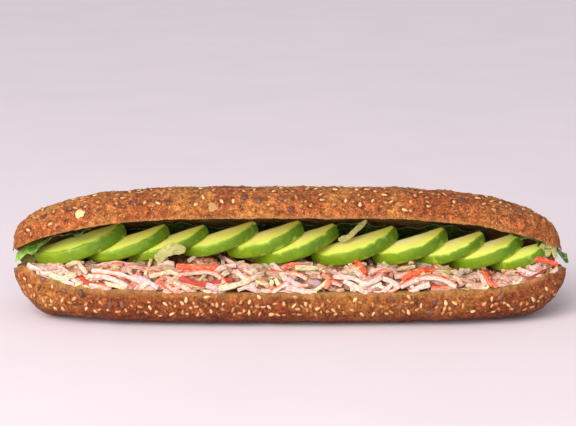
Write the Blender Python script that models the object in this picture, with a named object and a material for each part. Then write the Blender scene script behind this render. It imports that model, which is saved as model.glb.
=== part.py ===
"""Submarine sandwich: a seeded roll, cut open from the front and hinged along its back.

Metres, +Z up. The length runs along X, the open side faces -Y, and the origin is at the
middle of the underside. The crown of the roll is tipped up about its back edge by the
filling: a heap of shredded surimi salad, a shingled row of avocado slices, and lettuce.
"""
import math
import random

import bmesh
import bpy
from mathutils import Matrix, Vector, noise
from mathutils.bvhtree import BVHTree

MM = 0.001

# Clear space between neighbouring solids
GAP = 0.45 * MM

# Creases sharper than this stay sharp in the shading
SHARP_ANGLE = math.radians(35)

# The roll: its plan, the heel below the cut and the crown above it
HALF_LENGTH = 145 * MM
CROWN_RIGHT_LENGTH = 142 * MM
HALF_WIDTH = 38 * MM
PLAN_POWER = 3.3
STATIONS = 30
HEEL_WIDEST = 13 * MM
HEEL_LIP = 19.6 * MM
HEEL_NOSE = 22 * MM
HEEL_SQUARENESS = 2.7
HEEL_STEPS = 13
UNDERSIDE_SINK = 1.2 * MM
UNDERSIDE_BOW = 3.5 * MM
UNDERSIDE_END_RISE = 19 * MM
UNDERSIDE_END = 0.87
LIP_BOW = 2.2 * MM
LIP_CURL = 8 * MM
LIP_CURL_START = 0.74
LIP_CURL_SPAN = 0.2
LIP_TIP = 0.945
LIP_TIP_DROP = 5 * MM
LIP_INSET = 0.972
LIP_BULGE = 0.995
BACK_INSET = 0.96
BACK_LIP_DROP = 0.6 * MM
BACK_LIP_RISE = 1.5 * MM
CUT_HOLLOW = 1.2 * MM
CUT_END = 0.8
CUT_STEPS = 5
NARROWEST = 0.05
CROWN_HALF_WIDTH = 37 * MM
CROWN_HEIGHT = 25 * MM
CROWN_POWER = 4.2
CROWN_RIGHT_POWER = 3.7
CROWN_ROUNDNESS = 0.9
CROWN_STEPS = 15
ROOF_HOLLOW = 9.5 * MM
ROOF_SHARES = (0.07, 0.2, 0.36, 0.52, 0.68, 0.84)
HINGE_Y = 34 * MM
HINGE_Z = 22 * MM
OPEN_ANGLE = math.radians(28)
END_DROOP = math.radians(12)
CRUST_RELIEF = 0.7 * MM
CRUST_LUMP = 13 * MM
CAP_WIDTH = 0.55

# The uncut crust along the back
WEB_REACH = 0.8
WEB_HALF_THICKNESS = 3.2 * MM
WEB_HALF_HEIGHT = 5.5 * MM
WEB_SHIFT = (0.8 * MM, 0.6 * MM)
WEB_SIDES = 8
WEB_STEPS = 12

# Oat flakes, flax and sesame: half length, half width, half thickness, how many
SEED_KINDS = (
    (3.8 * MM, 2.6 * MM, 0.8 * MM, 2),
    (2.3 * MM, 1.3 * MM, 0.8 * MM, 14),
    (1.75 * MM, 1.1 * MM, 0.75 * MM, 66),
)
SEED_SPACING = 8.5 * MM
SEED_SINK = 0.15
SEEDS_ON_CROWN = 0.74
SEED_REACH = (-0.97, 0.95)
SEED_CROWN_ARC = (-52, 68)
SEED_CROWN_CENTRE = (2 * MM, 40 * MM)
SEED_HEEL_BAND = (8 * MM, 15 * MM)
SEED_RAY = 120 * MM

# Avocado slices: middle along the length, height of the underside there, outer radius
SLICES = (
    (-109.5 * MM, 34.8 * MM, 30.0 * MM),
    (-85.0 * MM, 36.0 * MM, 27.5 * MM),
    (-63.8 * MM, 36.8 * MM, 26.3 * MM),
    (-36.8 * MM, 38.8 * MM, 25.0 * MM),
    (-12.9 * MM, 38.0 * MM, 25.0 * MM),
    (2.5 * MM, 34.9 * MM, 28.4 * MM),
    (33.8 * MM, 33.9 * MM, 28.0 * MM),
    (62.5 * MM, 34.5 * MM, 24.4 * MM),
    (83.1 * MM, 34.3 * MM, 22.6 * MM),
    (101.7 * MM, 31.7 * MM, 24.4 * MM),
    (119.6 * MM, 30.9 * MM, 18.5 * MM),
)
SLICE_RISE = math.tan(math.radians(18))
SLICE_NOD = math.tan(math.radians(13))
SLICE_LEVEL_Y = -9 * MM
SLICE_FRONT_Y = -21 * MM
SLICE_THICKNESS = 7.2 * MM
SLICE_THINNEST = 4.8 * MM
SLICE_HALF_ARC = math.radians(55)
SLICE_TIP_WIDTH = 3.2 * MM
SLICE_INNER_REACH = 0.93
SLICE_BEVEL = 0.7 * MM
SLICE_DEPTH = 0.97
SLICE_STEPS = 10

# The salad heap
HEAP_LEFT = -136 * MM
HEAP_RIGHT = 138 * MM
HEAP_STATIONS = 46
HEAP_FRONT = 35.5 * MM
HEAP_BACK = 24 * MM
HEAP_HEIGHT = 30 * MM
HEAP_CROWN = 10 * MM
HEAP_LUMP = 8 * MM
HEAP_RELIEF = 1.6 * MM
HEAP_FACE_RELIEF = 1.0 * MM
HEAP_LEAN = 8 * MM
HEAP_UNDER_ROOF = 4.5 * MM
HEAP_END_DROP = 2 * MM
HEAP_THINNEST = 2 * MM
HEAP_SLICE_MARGIN = 7 * MM
SHRED_COUNT = 34
SHRED_TRIES = 700
SHRED_LENGTH = (16, 32)
SHRED_WIDTH = (2.7, 3.8)
SHRED_DEPTH = (2.3, 3.0)
SHRED_SLOPE = 38
SHRED_END = 0.7

# Pale lettuce ribbons in the heap: place along, share of the height, length, width
RIBBONS = (
    (58 * MM, 0.93, 20 * MM, 4.6 * MM),
    (76 * MM, 0.8, 24 * MM, 4.2 * MM),
    (-61 * MM, 0.98, 13 * MM, 5.2 * MM),
    (-78 * MM, 0.86, 12 * MM, 4.0 * MM),
)
RIBBON_DEPTH = 1.6 * MM

# Lettuce
LEAF_THICKNESS = 1.0 * MM
LEAF_BEND = 136 * MM
LEAF_SINK_SPAN = 8 * MM
LEAF_TIP_HEIGHT = 28.3 * MM
LEAF_TIP_SLOPE = 3 * MM
LEAF_HANG = 5 * MM
LEAF_HANG_START = 124 * MM
LEAF_HANG_SPAN = 10 * MM
LEAF_DROP = 2 * MM
LEAF_FRONT = 25.5 * MM
LEAF_INNER = 3 * MM
LEAF_RUFFLE = 0.8 * MM
LEAF_RUFFLE_LENGTH = 3.3 * MM
LEAF_SLICE_MARGIN = 9 * MM
LEAF_UNDER_ROOF = 0.9 * MM

# The leaf behind the slices
BACK_LEAF_LEFT = -112 * MM
BACK_LEAF_LENGTH = 216 * MM
BACK_LEAF_FRONT = 1.5 * MM
BACK_LEAF_DEPTH = 21 * MM
BACK_LEAF_RUFFLE = 0.9 * MM
BACK_LEAF_RUFFLE_LENGTH = 5.2 * MM

# Steps by this share of a length never fall into a pattern
GOLDEN_SHARE = 0.618034


def tapered(u, power):
    """Share of the full size that is left at the fraction u of the half length."""
    return max(0.0, 1.0 - min(1.0, abs(u)) ** power) ** (1.0 / power)


def beyond(value, start, span):
    """How far value has gone past start, in spans, and never below zero."""
    return max(0.0, (value - start) / span)


def signed_power(value, power):
    """A power that keeps the sign, for squared-off round outlines."""
    return math.copysign(abs(value) ** power, value)


def relief(x, y, z, size, depth):
    """Uneven lumps of the given size and depth, the same on every run."""
    return depth * noise.noise(Vector((x / size, y / size, z / size)))


def heel_lip(u):
    """Height of the heel's front lip, which curls up towards both ends."""
    far = abs(u)
    curl = LIP_CURL * beyond(min(far, LIP_TIP), LIP_CURL_START, LIP_CURL_SPAN) ** 1.6
    drop = LIP_TIP_DROP * beyond(far, LIP_TIP, 1 - LIP_TIP) ** 2
    return HEEL_LIP + LIP_BOW * far ** 2 + curl - drop


def heel_low(u):
    """Height of the heel's underside along the middle, before it is cut flat at zero."""
    far = abs(u)
    end = UNDERSIDE_END_RISE * beyond(far, UNDERSIDE_END, 1 - UNDERSIDE_END) ** 1.7
    return UNDERSIDE_BOW * far ** 3 + end - UNDERSIDE_SINK


def heel_back(u):
    """Height of the heel's back lip, at the hinge."""
    return HINGE_Z - BACK_LIP_DROP + BACK_LIP_RISE * beyond(abs(u), 0.9, 0.1)


def cut_height(u, y):
    """Height of the heel's cut face, a little hollow under the filling."""
    half = HALF_WIDTH * max(NARROWEST, tapered(u, PLAN_POWER))
    share = min(1.0, max(0.0, (y + half) / (2 * half)))
    back = heel_back(u)
    curl = (1.0 - share) ** (1.0 + 2.0 * beyond(abs(u), CUT_END, 1 - CUT_END))
    return back + (heel_lip(u) - back) * curl - CUT_HOLLOW * math.sin(math.pi * share)


def heel_section(u):
    """Outline of the heel across the length: lip, front, underside, back, cut face."""
    half = HALF_WIDTH * tapered(u, PLAN_POWER)
    low = heel_low(u)
    middle = HEEL_WIDEST + (HEEL_NOSE - HEEL_WIDEST) * abs(u) ** 6
    lip = max(heel_lip(u), middle + 1 * MM)
    back = max(heel_back(u), middle + 0.8 * MM)
    points = [(-LIP_INSET * half, lip), (-LIP_BULGE * half, 0.5 * (lip + middle))]
    for step in range(HEEL_STEPS + 1):
        angle = math.pi * step / HEEL_STEPS
        y = -half * signed_power(math.cos(angle), 2 / HEEL_SQUARENESS)
        z = middle - (middle - low) * signed_power(math.sin(angle), 2 / HEEL_SQUARENESS)
        points.append((y, z))
    points.append((LIP_BULGE * half, 0.5 * (back + middle)))
    points.append((BACK_INSET * half, back))
    for step in range(1, CUT_STEPS):
        y = half * (BACK_INSET - (BACK_INSET + LIP_INSET) * step / CUT_STEPS)
        points.append((y, min(cut_height(u, y), max(lip, back))))
    return points


def crown_angle(u):
    """How far the crown is tipped up, less towards its drooping ends."""
    return OPEN_ANGLE - END_DROOP * abs(u) ** 4


def tip_up(u, along, up):
    """Place of a crown point given along its cut face from the hinge and up from it."""
    angle = crown_angle(u)
    y = HINGE_Y + along * math.cos(angle) + up * math.sin(angle)
    z = HINGE_Z - along * math.sin(angle) + up * math.cos(angle)
    return y, z


def roof_rise(u, share):
    """Height of the pressed crumb over the cut face's chord, share 0 at the front lip."""
    return ROOF_HOLLOW * tapered(u, CROWN_POWER) * math.sin(math.pi * share ** 1.1) ** 0.8


def crown_section(u):
    """Outline of the crown across the length: hinge, back, top, front lip, roof."""
    half = CROWN_HALF_WIDTH * tapered(u, PLAN_POWER)
    height = CROWN_HEIGHT * tapered(u, CROWN_POWER if u < 0 else CROWN_RIGHT_POWER)
    points = []
    for step in range(CROWN_STEPS + 1):
        angle = math.pi * step / CROWN_STEPS
        along = -CROWN_HALF_WIDTH + half * signed_power(math.cos(angle), CROWN_ROUNDNESS)
        points.append(tip_up(u, along, height * math.sin(angle) ** CROWN_ROUNDNESS))
    for share in ROOF_SHARES:
        along = -CROWN_HALF_WIDTH - half + 2 * half * share
        points.append(tip_up(u, along, roof_rise(u, share)))
    return points


def roof_height(x, y):
    """Height of the crown's roof above a point of the plan."""
    u = crown_share(x)
    half = CROWN_HALF_WIDTH * max(NARROWEST, tapered(u, PLAN_POWER))
    angle = crown_angle(u)
    along = (y - HINGE_Y) / math.cos(angle)
    for _ in range(6):
        share = min(1.0, max(0.0, (along + CROWN_HALF_WIDTH + half) / (2 * half)))
        up = roof_rise(u, share)
        along = (y - HINGE_Y - up * math.sin(angle)) / math.cos(angle)
    return HINGE_Z - along * math.sin(angle) + up * math.cos(angle)


def crown_share(x):
    """Fraction of the crown's half length at a place along the sandwich."""
    return x / (HALF_LENGTH if x < 0 else CROWN_RIGHT_LENGTH)


def crown_place(u):
    """Place along the sandwich of a fraction of the crown's half length."""
    return u * (HALF_LENGTH if u < 0 else CROWN_RIGHT_LENGTH)


def web_section(u):
    """Outline of the uncut crust that joins heel and crown along the back."""
    y = (HINGE_Y - CROWN_HALF_WIDTH) + CROWN_HALF_WIDTH * tapered(u, PLAN_POWER)
    points = []
    for step in range(WEB_SIDES):
        angle = 2 * math.pi * step / WEB_SIDES
        across = y - WEB_HALF_THICKNESS * (1 - math.cos(angle)) + WEB_SHIFT[0]
        points.append((across, HINGE_Z + WEB_SHIFT[1] - WEB_HALF_HEIGHT * math.sin(angle)))
    return points


def loft(bm, rings):
    """Extrude a face through rings of points, each as long as the first."""
    face = bm.faces.new([bm.verts.new(point) for point in rings[0]])
    for number, ring in enumerate(rings[1:]):
        grown = bmesh.ops.extrude_face_region(bm, geom=[face], use_keep_orig=True)
        if number > 0:
            bmesh.ops.delete(bm, geom=[face], context="FACES_ONLY")
        face = next(item for item in grown["geom"] if isinstance(item, bmesh.types.BMFace))
        for vert, point in zip(face.verts, ring):
            vert.co = point


def stations(count, reach=0.9985):
    """Fractions of the half length, closer together towards the ends."""
    return [reach * math.sin(math.pi * (step / (count - 1) - 0.5)) for step in range(count)]


def roll_rings(section, place, shares, relief_depth):
    """Rings of a length of bread, with an uneven crust and small closing ends."""
    rings = []
    for u in shares:
        x = place(u)
        points = section(u)
        middle_y = sum(point[0] for point in points) / len(points)
        middle_z = sum(point[1] for point in points) / len(points)
        ring = []
        for y, z in points:
            out = 1.0 + relief(x, y, z, CRUST_LUMP, relief_depth) / HALF_WIDTH
            new_y = middle_y + (y - middle_y) * out
            new_z = middle_z + (z - middle_z) * out
            ring.append(Vector((x, new_y, max(0.0, new_z))))
        rings.append(ring)
    for end, inward in ((0, rings[0]), (-1, rings[-1])):
        middle = sum(inward, Vector()) / len(inward)
        x = place(-1.0 if end == 0 else 1.0)
        cap = [middle.lerp(point, CAP_WIDTH) for point in inward]
        for point in cap:
            point.x = x
        rings = [cap] + rings if end == 0 else rings + [cap]
    return rings


def finished(name, bm, material, collection=None):
    """Close a mesh up as an object of its own with its faces pointing out."""
    bmesh.ops.recalc_face_normals(bm, faces=bm.faces)
    mesh = bpy.data.meshes.new(name)
    bm.to_mesh(mesh)
    bm.free()
    mesh.shade_smooth()
    mesh.set_sharp_from_angle(angle=SHARP_ANGLE)
    piece = bpy.data.objects.new(name, mesh)
    piece.data.materials.append(material)
    (collection or bpy.context.scene.collection).objects.link(piece)
    return piece


def finish_material(name, colour, roughness):
    """A plain finish with one base colour."""
    material = bpy.data.materials.new(name)
    material.use_nodes = True
    shader = material.node_tree.nodes["Principled BSDF"]
    shader.inputs["Base Color"].default_value = (*colour, 1.0)
    shader.inputs["Roughness"].default_value = roughness
    shader.inputs["Metallic"].default_value = 0.0
    return material


def join_all(body, parts):
    """Fuse the pieces of a collection onto a body, then remove them."""
    union = body.modifiers.new("Fused pieces", "BOOLEAN")
    union.operation = "UNION"
    union.operand_type = "COLLECTION"
    union.collection = parts
    union.solver = "MANIFOLD"
    apply_modifiers(body)
    for piece in list(parts.objects):
        bpy.data.objects.remove(piece)
    bpy.data.collections.remove(parts)


def apply_modifiers(body):
    """Keep an object's evaluated mesh, without its loose scraps, in place of its modifiers."""
    graph = bpy.context.evaluated_depsgraph_get()
    mesh = bpy.data.meshes.new_from_object(body.evaluated_get(graph))
    old = body.data
    body.modifiers.clear()
    body.data = mesh
    bpy.data.meshes.remove(old)
    keep_largest(body)


def keep_largest(body):
    """Drop every loose scrap or sealed hollow, so that one closed shell is left."""
    bm = bmesh.new()
    bm.from_mesh(body.data)
    split_into_triangles(bm)
    left = set(bm.verts)
    shells = []
    while left:
        shell = grown_shell(left.pop())
        left -= shell
        shells.append(shell)
    shells.sort(key=len)
    scraps = [vert for shell in shells[:-1] for vert in shell]
    bmesh.ops.delete(bm, geom=scraps, context="VERTS")
    bm.to_mesh(body.data)
    bm.free()
    body.data.set_sharp_from_angle(angle=SHARP_ANGLE)


def split_into_triangles(bm):
    """Triangulate a mesh, turning any diagonal that two neighbouring faces both draw."""
    bmesh.ops.triangulate(bm, faces=bm.faces)
    for edge in [edge for edge in bm.edges if len(edge.link_faces) > 2]:
        first = edge.link_loops[0]
        others = [loop for loop in edge.link_loops if loop.vert != first.vert]
        second = max(others, key=lambda loop: loop.face.normal.dot(first.face.normal))
        start, end = first.vert, second.vert
        apex = first.link_loop_prev.vert
        far_apex = second.link_loop_prev.vert
        bmesh.ops.delete(bm, geom=[first.face, second.face], context="FACES_ONLY")
        bm.faces.new((apex, start, far_apex))
        bm.faces.new((apex, far_apex, end))


def grown_shell(seed):
    """Every vertex joined to a first one by edges."""
    shell = {seed}
    front = [seed]
    while front:
        vert = front.pop()
        for edge in vert.link_edges:
            other = edge.other_vert(vert)
            if other not in shell:
                shell.add(other)
                front.append(other)
    return shell


def bvh_of(piece):
    """Search tree of an object's mesh where the object stands."""
    bm = bmesh.new()
    bm.from_mesh(piece.data)
    bm.transform(piece.matrix_world)
    tree = BVHTree.FromBMesh(bm)
    bm.free()
    return tree


def add_seed(tree, origin, direction, size, turn, parts, material):
    """Lay one seed flat on the crust where a ray towards the roll's axis meets it."""
    spot, normal, _, _ = tree.ray_cast(origin, direction)
    half_long, half_wide, half_thick = size
    bm = bmesh.new()
    bmesh.ops.create_icosphere(bm, subdivisions=1, radius=1.0)
    scale = Matrix.Diagonal((half_long, half_wide, half_thick, 1.0))
    spin = normal.to_track_quat("Z", "Y").to_matrix().to_4x4() @ Matrix.Rotation(turn, 4, "Z")
    place = Matrix.Translation(spot - normal * half_thick * SEED_SINK)
    bm.transform(place @ spin @ scale)
    return finished("seed", bm, material, parts)


def seed_ray(rng, on_crown):
    """Start and direction of a ray that meets the crust at a place drawn at random."""
    x = rng.uniform(*SEED_REACH) * HALF_LENGTH
    if on_crown:
        angle = math.radians(rng.uniform(*SEED_CROWN_ARC))
        out = Vector((0, math.sin(angle), math.cos(angle)))
        return Vector((x, *SEED_CROWN_CENTRE)) + out * SEED_RAY, -out
    side = rng.choice((-1, -1, 1))
    height = rng.uniform(*SEED_HEEL_BAND) + 9 * MM * beyond(abs(x) / HALF_LENGTH, 0.84, 0.16)
    return Vector((x, side * SEED_RAY, height)), Vector((0, -side, 0))


def scatter_seeds(roll, parts, material):
    """Spread the seeds evenly over the crust, the largest kinds first."""
    rng = random.Random(7)
    tree = bvh_of(roll)
    taken = []
    for half_long, half_wide, half_thick, count in SEED_KINDS:
        placed = 0
        while placed < count:
            start, towards = seed_ray(rng, placed < SEEDS_ON_CROWN * count)
            turn = rng.uniform(0, math.pi)
            spot = tree.ray_cast(start, towards)[0]
            if spot is None or any((spot - other).length < SEED_SPACING for other in taken):
                continue
            taken.append(spot)
            size = (half_long, half_wide, half_thick)
            add_seed(tree, start, towards, size, turn, parts, material)
            placed += 1


def build_bread():
    """The roll as one solid: heel, crown, the web of crust between them, and its seeds."""
    crust = finish_material("golden_crust", (0.46, 0.19, 0.07), 0.62)
    parts = bpy.data.collections.new("bread parts")
    bpy.context.scene.collection.children.link(parts)
    shares = stations(STATIONS)
    heel = bmesh.new()
    loft(heel, roll_rings(heel_section, lambda u: u * HALF_LENGTH, shares, CRUST_RELIEF))
    bread = finished("bread", heel, crust)
    crown = bmesh.new()
    loft(crown, roll_rings(crown_section, crown_place, shares, CRUST_RELIEF))
    finished("crown", crown, crust, parts)
    web = bmesh.new()
    web_shares = [WEB_REACH * (2 * step / WEB_STEPS - 1) for step in range(WEB_STEPS + 1)]
    web_rings = []
    for u in web_shares:
        web_rings.append([Vector((u * HALF_LENGTH, y, z)) for y, z in web_section(u)])
    loft(web, web_rings)
    finished("web", web, crust, parts)
    join_all(bread, parts)
    seeds = bpy.data.collections.new("seeds")
    bpy.context.scene.collection.children.link(seeds)
    scatter_seeds(bread, seeds, crust)
    join_all(bread, seeds)
    return bread


def slice_underside(index, x, y):
    """Height of a slice's flat underside, or of that plane beyond its edge."""
    middle, height, _ = SLICES[index]
    return height + (x - middle) * SLICE_RISE + (y - SLICE_LEVEL_Y) * SLICE_NOD


def slice_thickness(index):
    """Thickness of a slice, thinner where it slips under the one before it."""
    if index == 0:
        return SLICE_THICKNESS
    drop = slice_underside(index - 1, 0, 0) - slice_underside(index, 0, 0)
    square = drop / math.sqrt(1 + SLICE_RISE ** 2 + SLICE_NOD ** 2)
    return max(SLICE_THINNEST, min(SLICE_THICKNESS, square - GAP))


def slice_centre(index):
    """Centre of the ring that a slice is half of, on its underside."""
    middle, _, radius = SLICES[index]
    y = SLICE_FRONT_Y + radius * SLICE_DEPTH
    return Vector((middle, y, slice_underside(index, middle, y)))


def slice_frame(index):
    """Matrix that lays a slice on its sloping plane."""
    up = Vector((-SLICE_RISE, -SLICE_NOD, 1)).normalized()
    along = Vector((1, 0, SLICE_RISE)).normalized()
    back = up.cross(along)
    turn = Matrix((along, back, up)).transposed().to_4x4()
    return Matrix.Translation(slice_centre(index)) @ turn


def slice_ring(radius, thick, angle):
    """Outline of a slice across its curve: round outer edge, nearly straight inner edge."""
    chord = radius * math.cos(SLICE_HALF_ARC) - SLICE_TIP_WIDTH
    inner = Vector((SLICE_INNER_REACH * radius * math.sin(angle), -chord, 0))
    outer = Vector((radius * math.sin(angle), -radius * math.cos(angle), 0))
    inward = (inner - outer).normalized()
    profile = (
        (inner, 0.0),
        (outer + inward * SLICE_BEVEL, 0.0),
        (outer, 0.3 * thick),
        (outer, 0.7 * thick),
        (outer + inward * SLICE_BEVEL, thick),
        (inner, thick),
    )
    return [Vector((point.x, point.y, height)) for point, height in profile]


def build_slice(index, material):
    """One half ring of avocado, round edge to the front, on its sloping plane."""
    radius = SLICES[index][2]
    thick = slice_thickness(index)
    bm = bmesh.new()
    rings = []
    for step in range(SLICE_STEPS):
        angle = SLICE_HALF_ARC * (2 * step / (SLICE_STEPS - 1) - 1)
        rings.append(slice_ring(radius, thick, angle))
    loft(bm, rings)
    piece = finished(f"avocado_slice_{index + 1:02d}", bm, material)
    piece.matrix_world = slice_frame(index)
    return piece


def under_slices(x, y, margin):
    """Height below which a point of the plan is clear of every slice."""
    clear = 1.0
    for index in range(len(SLICES)):
        centre = slice_centre(index)
        reach = SLICES[index][2] + margin
        if math.hypot(x - centre.x, y - centre.y) < reach:
            clear = min(clear, slice_underside(index, x, y) - 0.7 * MM)
    return clear


def heap_top(x, y):
    """Height of the salad heap, below the slices, the lettuce and the roof."""
    u = x / HALF_LENGTH
    heap = HEAP_HEIGHT + HEAP_CROWN * min(1.0, beyond(y, -25 * MM, 30 * MM))
    heap += relief(x, y, 0.0, HEAP_LUMP, HEAP_RELIEF)
    heap = min(heap, under_slices(x, y, HEAP_SLICE_MARGIN))
    roof = roof_height(x, y) - HEAP_UNDER_ROOF
    heap = min(heap, roof - HEAP_END_DROP * beyond(abs(u), 0.8, 0.15))
    return max(heap, cut_height(u, y) + HEAP_THINNEST)


def heap_section(x):
    """Outline of the salad heap across the length."""
    u = x / HALF_LENGTH
    wide = tapered(u, PLAN_POWER)
    front = -HEAP_FRONT * wide
    back = HEAP_BACK * wide
    points = []
    for share in (0.0, 0.33, 0.66, 1.0):
        y = back + (front - back) * share
        points.append((y, cut_height(u, y) + GAP + 0.3 * MM))
    low = cut_height(u, front)
    top_y = front + HEAP_LEAN * wide
    for share in (0.3, 0.65):
        y = heap_face(front, share)
        bump = relief(x, y, share, HEAP_LUMP, HEAP_FACE_RELIEF)
        points.append((y + bump, low + share * (heap_top(x, top_y) - low)))
    for share in (0.0, 0.12, 0.25, 0.38, 0.52, 0.68, 0.84, 1.0):
        y = top_y + (back - top_y) * share
        points.append((y, heap_top(x, y)))
    return points


def heap_face(front, share):
    """Place across the sandwich of the heap's front at a share of its height."""
    return front + 0.4 * MM + HEAP_LEAN * min(1.2, max(0.0, share)) ** 1.5


def shred_path(x, share, slope, length, bow):
    """Points of a shred that lies on the heap's front, from its left end to its right."""
    points = []
    for step in range(5):
        part = step / 4
        along = x + length * (part - 0.5) * math.cos(slope)
        u = along / HALF_LENGTH
        front = -HEAP_FRONT * tapered(u, PLAN_POWER)
        low = cut_height(u, front) + 2.4 * MM
        high = heap_top(along, front + HEAP_LEAN) + 0.5 * MM
        z = low + (high - low) * share + length * (part - 0.5) * math.sin(slope)
        z = max(low, min(z + bow * math.sin(math.pi * part), high + 1.5 * MM))
        rise = (z - low) / max(high - low, 1 * MM)
        points.append(Vector((along, heap_face(front, rise) + 0.3 * MM, z)))
    return points


def add_shred(path, width, thick, parts, material):
    """One four-sided strip along a path, thinner at its ends."""
    rings = []
    for step, point in enumerate(path):
        before = path[max(step - 1, 0)]
        after = path[min(step + 1, len(path) - 1)]
        along = (after - before).normalized()
        out = Vector((0, -1, 0.15)).normalized()
        across = along.cross(out).normalized()
        out = across.cross(along)
        fine = SHRED_END if step in (0, len(path) - 1) else 1.0
        half_wide = across * width * 0.5 * fine
        half_thick = out * thick * 0.5 * fine
        rings.append([
            point - half_wide - half_thick,
            point + half_wide - half_thick,
            point + half_wide + half_thick,
            point - half_wide + half_thick,
        ])
    bm = bmesh.new()
    loft(bm, rings)
    return finished("shred", bm, material, parts)


def is_clear(piece, neighbours):
    """Whether a piece keeps its gap to every neighbour."""
    own = bvh_of(piece)
    for tree in neighbours:
        if own.overlap(tree):
            return False
        for vert in piece.data.vertices:
            if tree.find_nearest(vert.co, GAP)[0] is not None:
                return False
    return True


def keep_if_clear(piece, neighbours):
    """Remove a piece that comes too near a neighbour, and tell whether it stays."""
    stays = is_clear(piece, neighbours)
    if not stays:
        bpy.data.objects.remove(piece)
    return stays


def build_salad(neighbours):
    """The shredded salad: one lumpy core with the shreds that show fused onto it."""
    flesh = finish_material("surimi_salad", (0.86, 0.50, 0.38), 0.45)
    rings = []
    for step in range(HEAP_STATIONS):
        x = HEAP_LEFT + (HEAP_RIGHT - HEAP_LEFT) * step / (HEAP_STATIONS - 1)
        rings.append([Vector((x, y, z)) for y, z in heap_section(x)])
    core = bmesh.new()
    loft(core, rings)
    salad = finished("crab_salad", core, flesh)
    parts = bpy.data.collections.new("shreds")
    bpy.context.scene.collection.children.link(parts)
    rng = random.Random(21)
    placed = 0
    for trial in range(SHRED_TRIES):
        x = HEAP_LEFT + (HEAP_RIGHT - HEAP_LEFT) * ((trial * GOLDEN_SHARE) % 1.0)
        length = rng.uniform(*SHRED_LENGTH) * MM
        length *= 1.0 - 0.5 * beyond(abs(x) / HALF_LENGTH, 0.65, 0.3)
        slope = math.radians(rng.uniform(-SHRED_SLOPE, SHRED_SLOPE))
        path = shred_path(x, rng.uniform(0.0, 0.95), slope, length, rng.uniform(-3, 4) * MM)
        wide = rng.uniform(*SHRED_WIDTH) * MM
        shred = add_shred(path, wide, rng.uniform(*SHRED_DEPTH) * MM, parts, flesh)
        placed += keep_if_clear(shred, neighbours)
        if placed == SHRED_COUNT:
            break
    for x, share, length, wide in RIBBONS:
        path = shred_path(x, share, 0.0, length, 0.0)
        keep_if_clear(add_shred(path, wide, RIBBON_DEPTH, parts, flesh), neighbours)
    join_all(salad, parts)
    return salad


def build_leaf(name, shape, columns, rows, material):
    """A thin wavy leaf: one triangulated sheet, and the same sheet raised over it."""
    bm = bmesh.new()
    bmesh.ops.create_grid(bm, x_segments=columns, y_segments=rows, size=0.5)
    for vert in bm.verts:
        vert.co = shape(vert.co.x + 0.5, vert.co.y + 0.5)
    bmesh.ops.triangulate(bm, faces=bm.faces)
    upper = bmesh.ops.extrude_face_region(bm, geom=list(bm.faces))
    for item in upper["geom"]:
        if isinstance(item, bmesh.types.BMVert):
            item.co.z += LEAF_THICKNESS
    return finished(name, bm, material)


def over_slices(x, y, margin):
    """Height above which a point of the plan is clear of every slice."""
    clear = 0.0
    for index in range(len(SLICES)):
        centre = slice_centre(index)
        if math.hypot(x - centre.x, y - centre.y) < SLICES[index][2] + margin:
            steep = math.sqrt(1 + SLICE_RISE ** 2 + SLICE_NOD ** 2)
            top = slice_underside(index, x, y) + slice_thickness(index) * steep
            clear = max(clear, top + GAP)
    return clear


def leaf_height(x, y, drop, deep):
    """Height of a leaf's lower face: under the roof, over the slices, low at the tips."""
    inner = max(-LEAF_BEND, min(x, LEAF_BEND))
    roof = roof_height(inner, y) - LEAF_THICKNESS
    low = over_slices(inner, y, LEAF_SLICE_MARGIN) if y < -1 * MM else 0.0
    height = min(roof - LEAF_UNDER_ROOF, max(roof - drop, low))
    sink = min(1.0, beyond(abs(x), LEAF_BEND, LEAF_SINK_SPAN))
    return height + (LEAF_TIP_HEIGHT + LEAF_TIP_SLOPE * deep - height) * sink


def back_leaf(across, deep):
    """Point of the leaf behind the slices, ruffled along its front edge."""
    x = BACK_LEAF_LEFT + BACK_LEAF_LENGTH * across
    y = BACK_LEAF_FRONT + BACK_LEAF_DEPTH * deep
    ruffle = BACK_LEAF_RUFFLE * math.sin(x / BACK_LEAF_RUFFLE_LENGTH) * (1 - deep)
    return Vector((x, y, leaf_height(x, y, LEAF_DROP + 1 * MM * (1 - deep) - ruffle, deep)))


def end_leaf(tip, length, across, deep):
    """Point of a leaf that runs in from a tip of the sandwich, its front edge hanging."""
    x = tip - math.copysign(length, tip) * across
    reach = tapered(min(abs(x) / HALF_LENGTH, 0.985), PLAN_POWER)
    y = -LEAF_FRONT * reach * (1 - deep) - LEAF_INNER * (1 + reach) * deep
    ruffle = LEAF_RUFFLE * math.sin(x / LEAF_RUFFLE_LENGTH + 2.5 * deep) * (1 - deep)
    hang = LEAF_HANG * min(1.0, beyond(abs(x), LEAF_HANG_START, LEAF_HANG_SPAN))
    drop = LEAF_DROP + hang * (1 - deep) ** 2 - ruffle
    return Vector((x, y, leaf_height(x, y, drop, deep)))


def left_leaf(across, deep):
    """Point of the leaf under the crown's left end."""
    return end_leaf(-143.5 * MM, 41.0 * MM, across, deep)


def right_leaf(across, deep):
    """Point of the leaf under the crown's right end."""
    return end_leaf(145.5 * MM, 31.0 * MM, across, deep)


def build_lettuce():
    """The three leaves that show: behind the slices and at both ends."""
    green = finish_material("lettuce_green", (0.16, 0.30, 0.04), 0.5)
    return [
        build_leaf("lettuce_back", back_leaf, 40, 2, green),
        build_leaf("lettuce_left", left_leaf, 15, 4, green),
        build_leaf("lettuce_right", right_leaf, 12, 4, green),
    ]


def clear_scene():
    """Remove whatever the file holds."""
    for item in list(bpy.data.objects):
        bpy.data.objects.remove(item)


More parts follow.
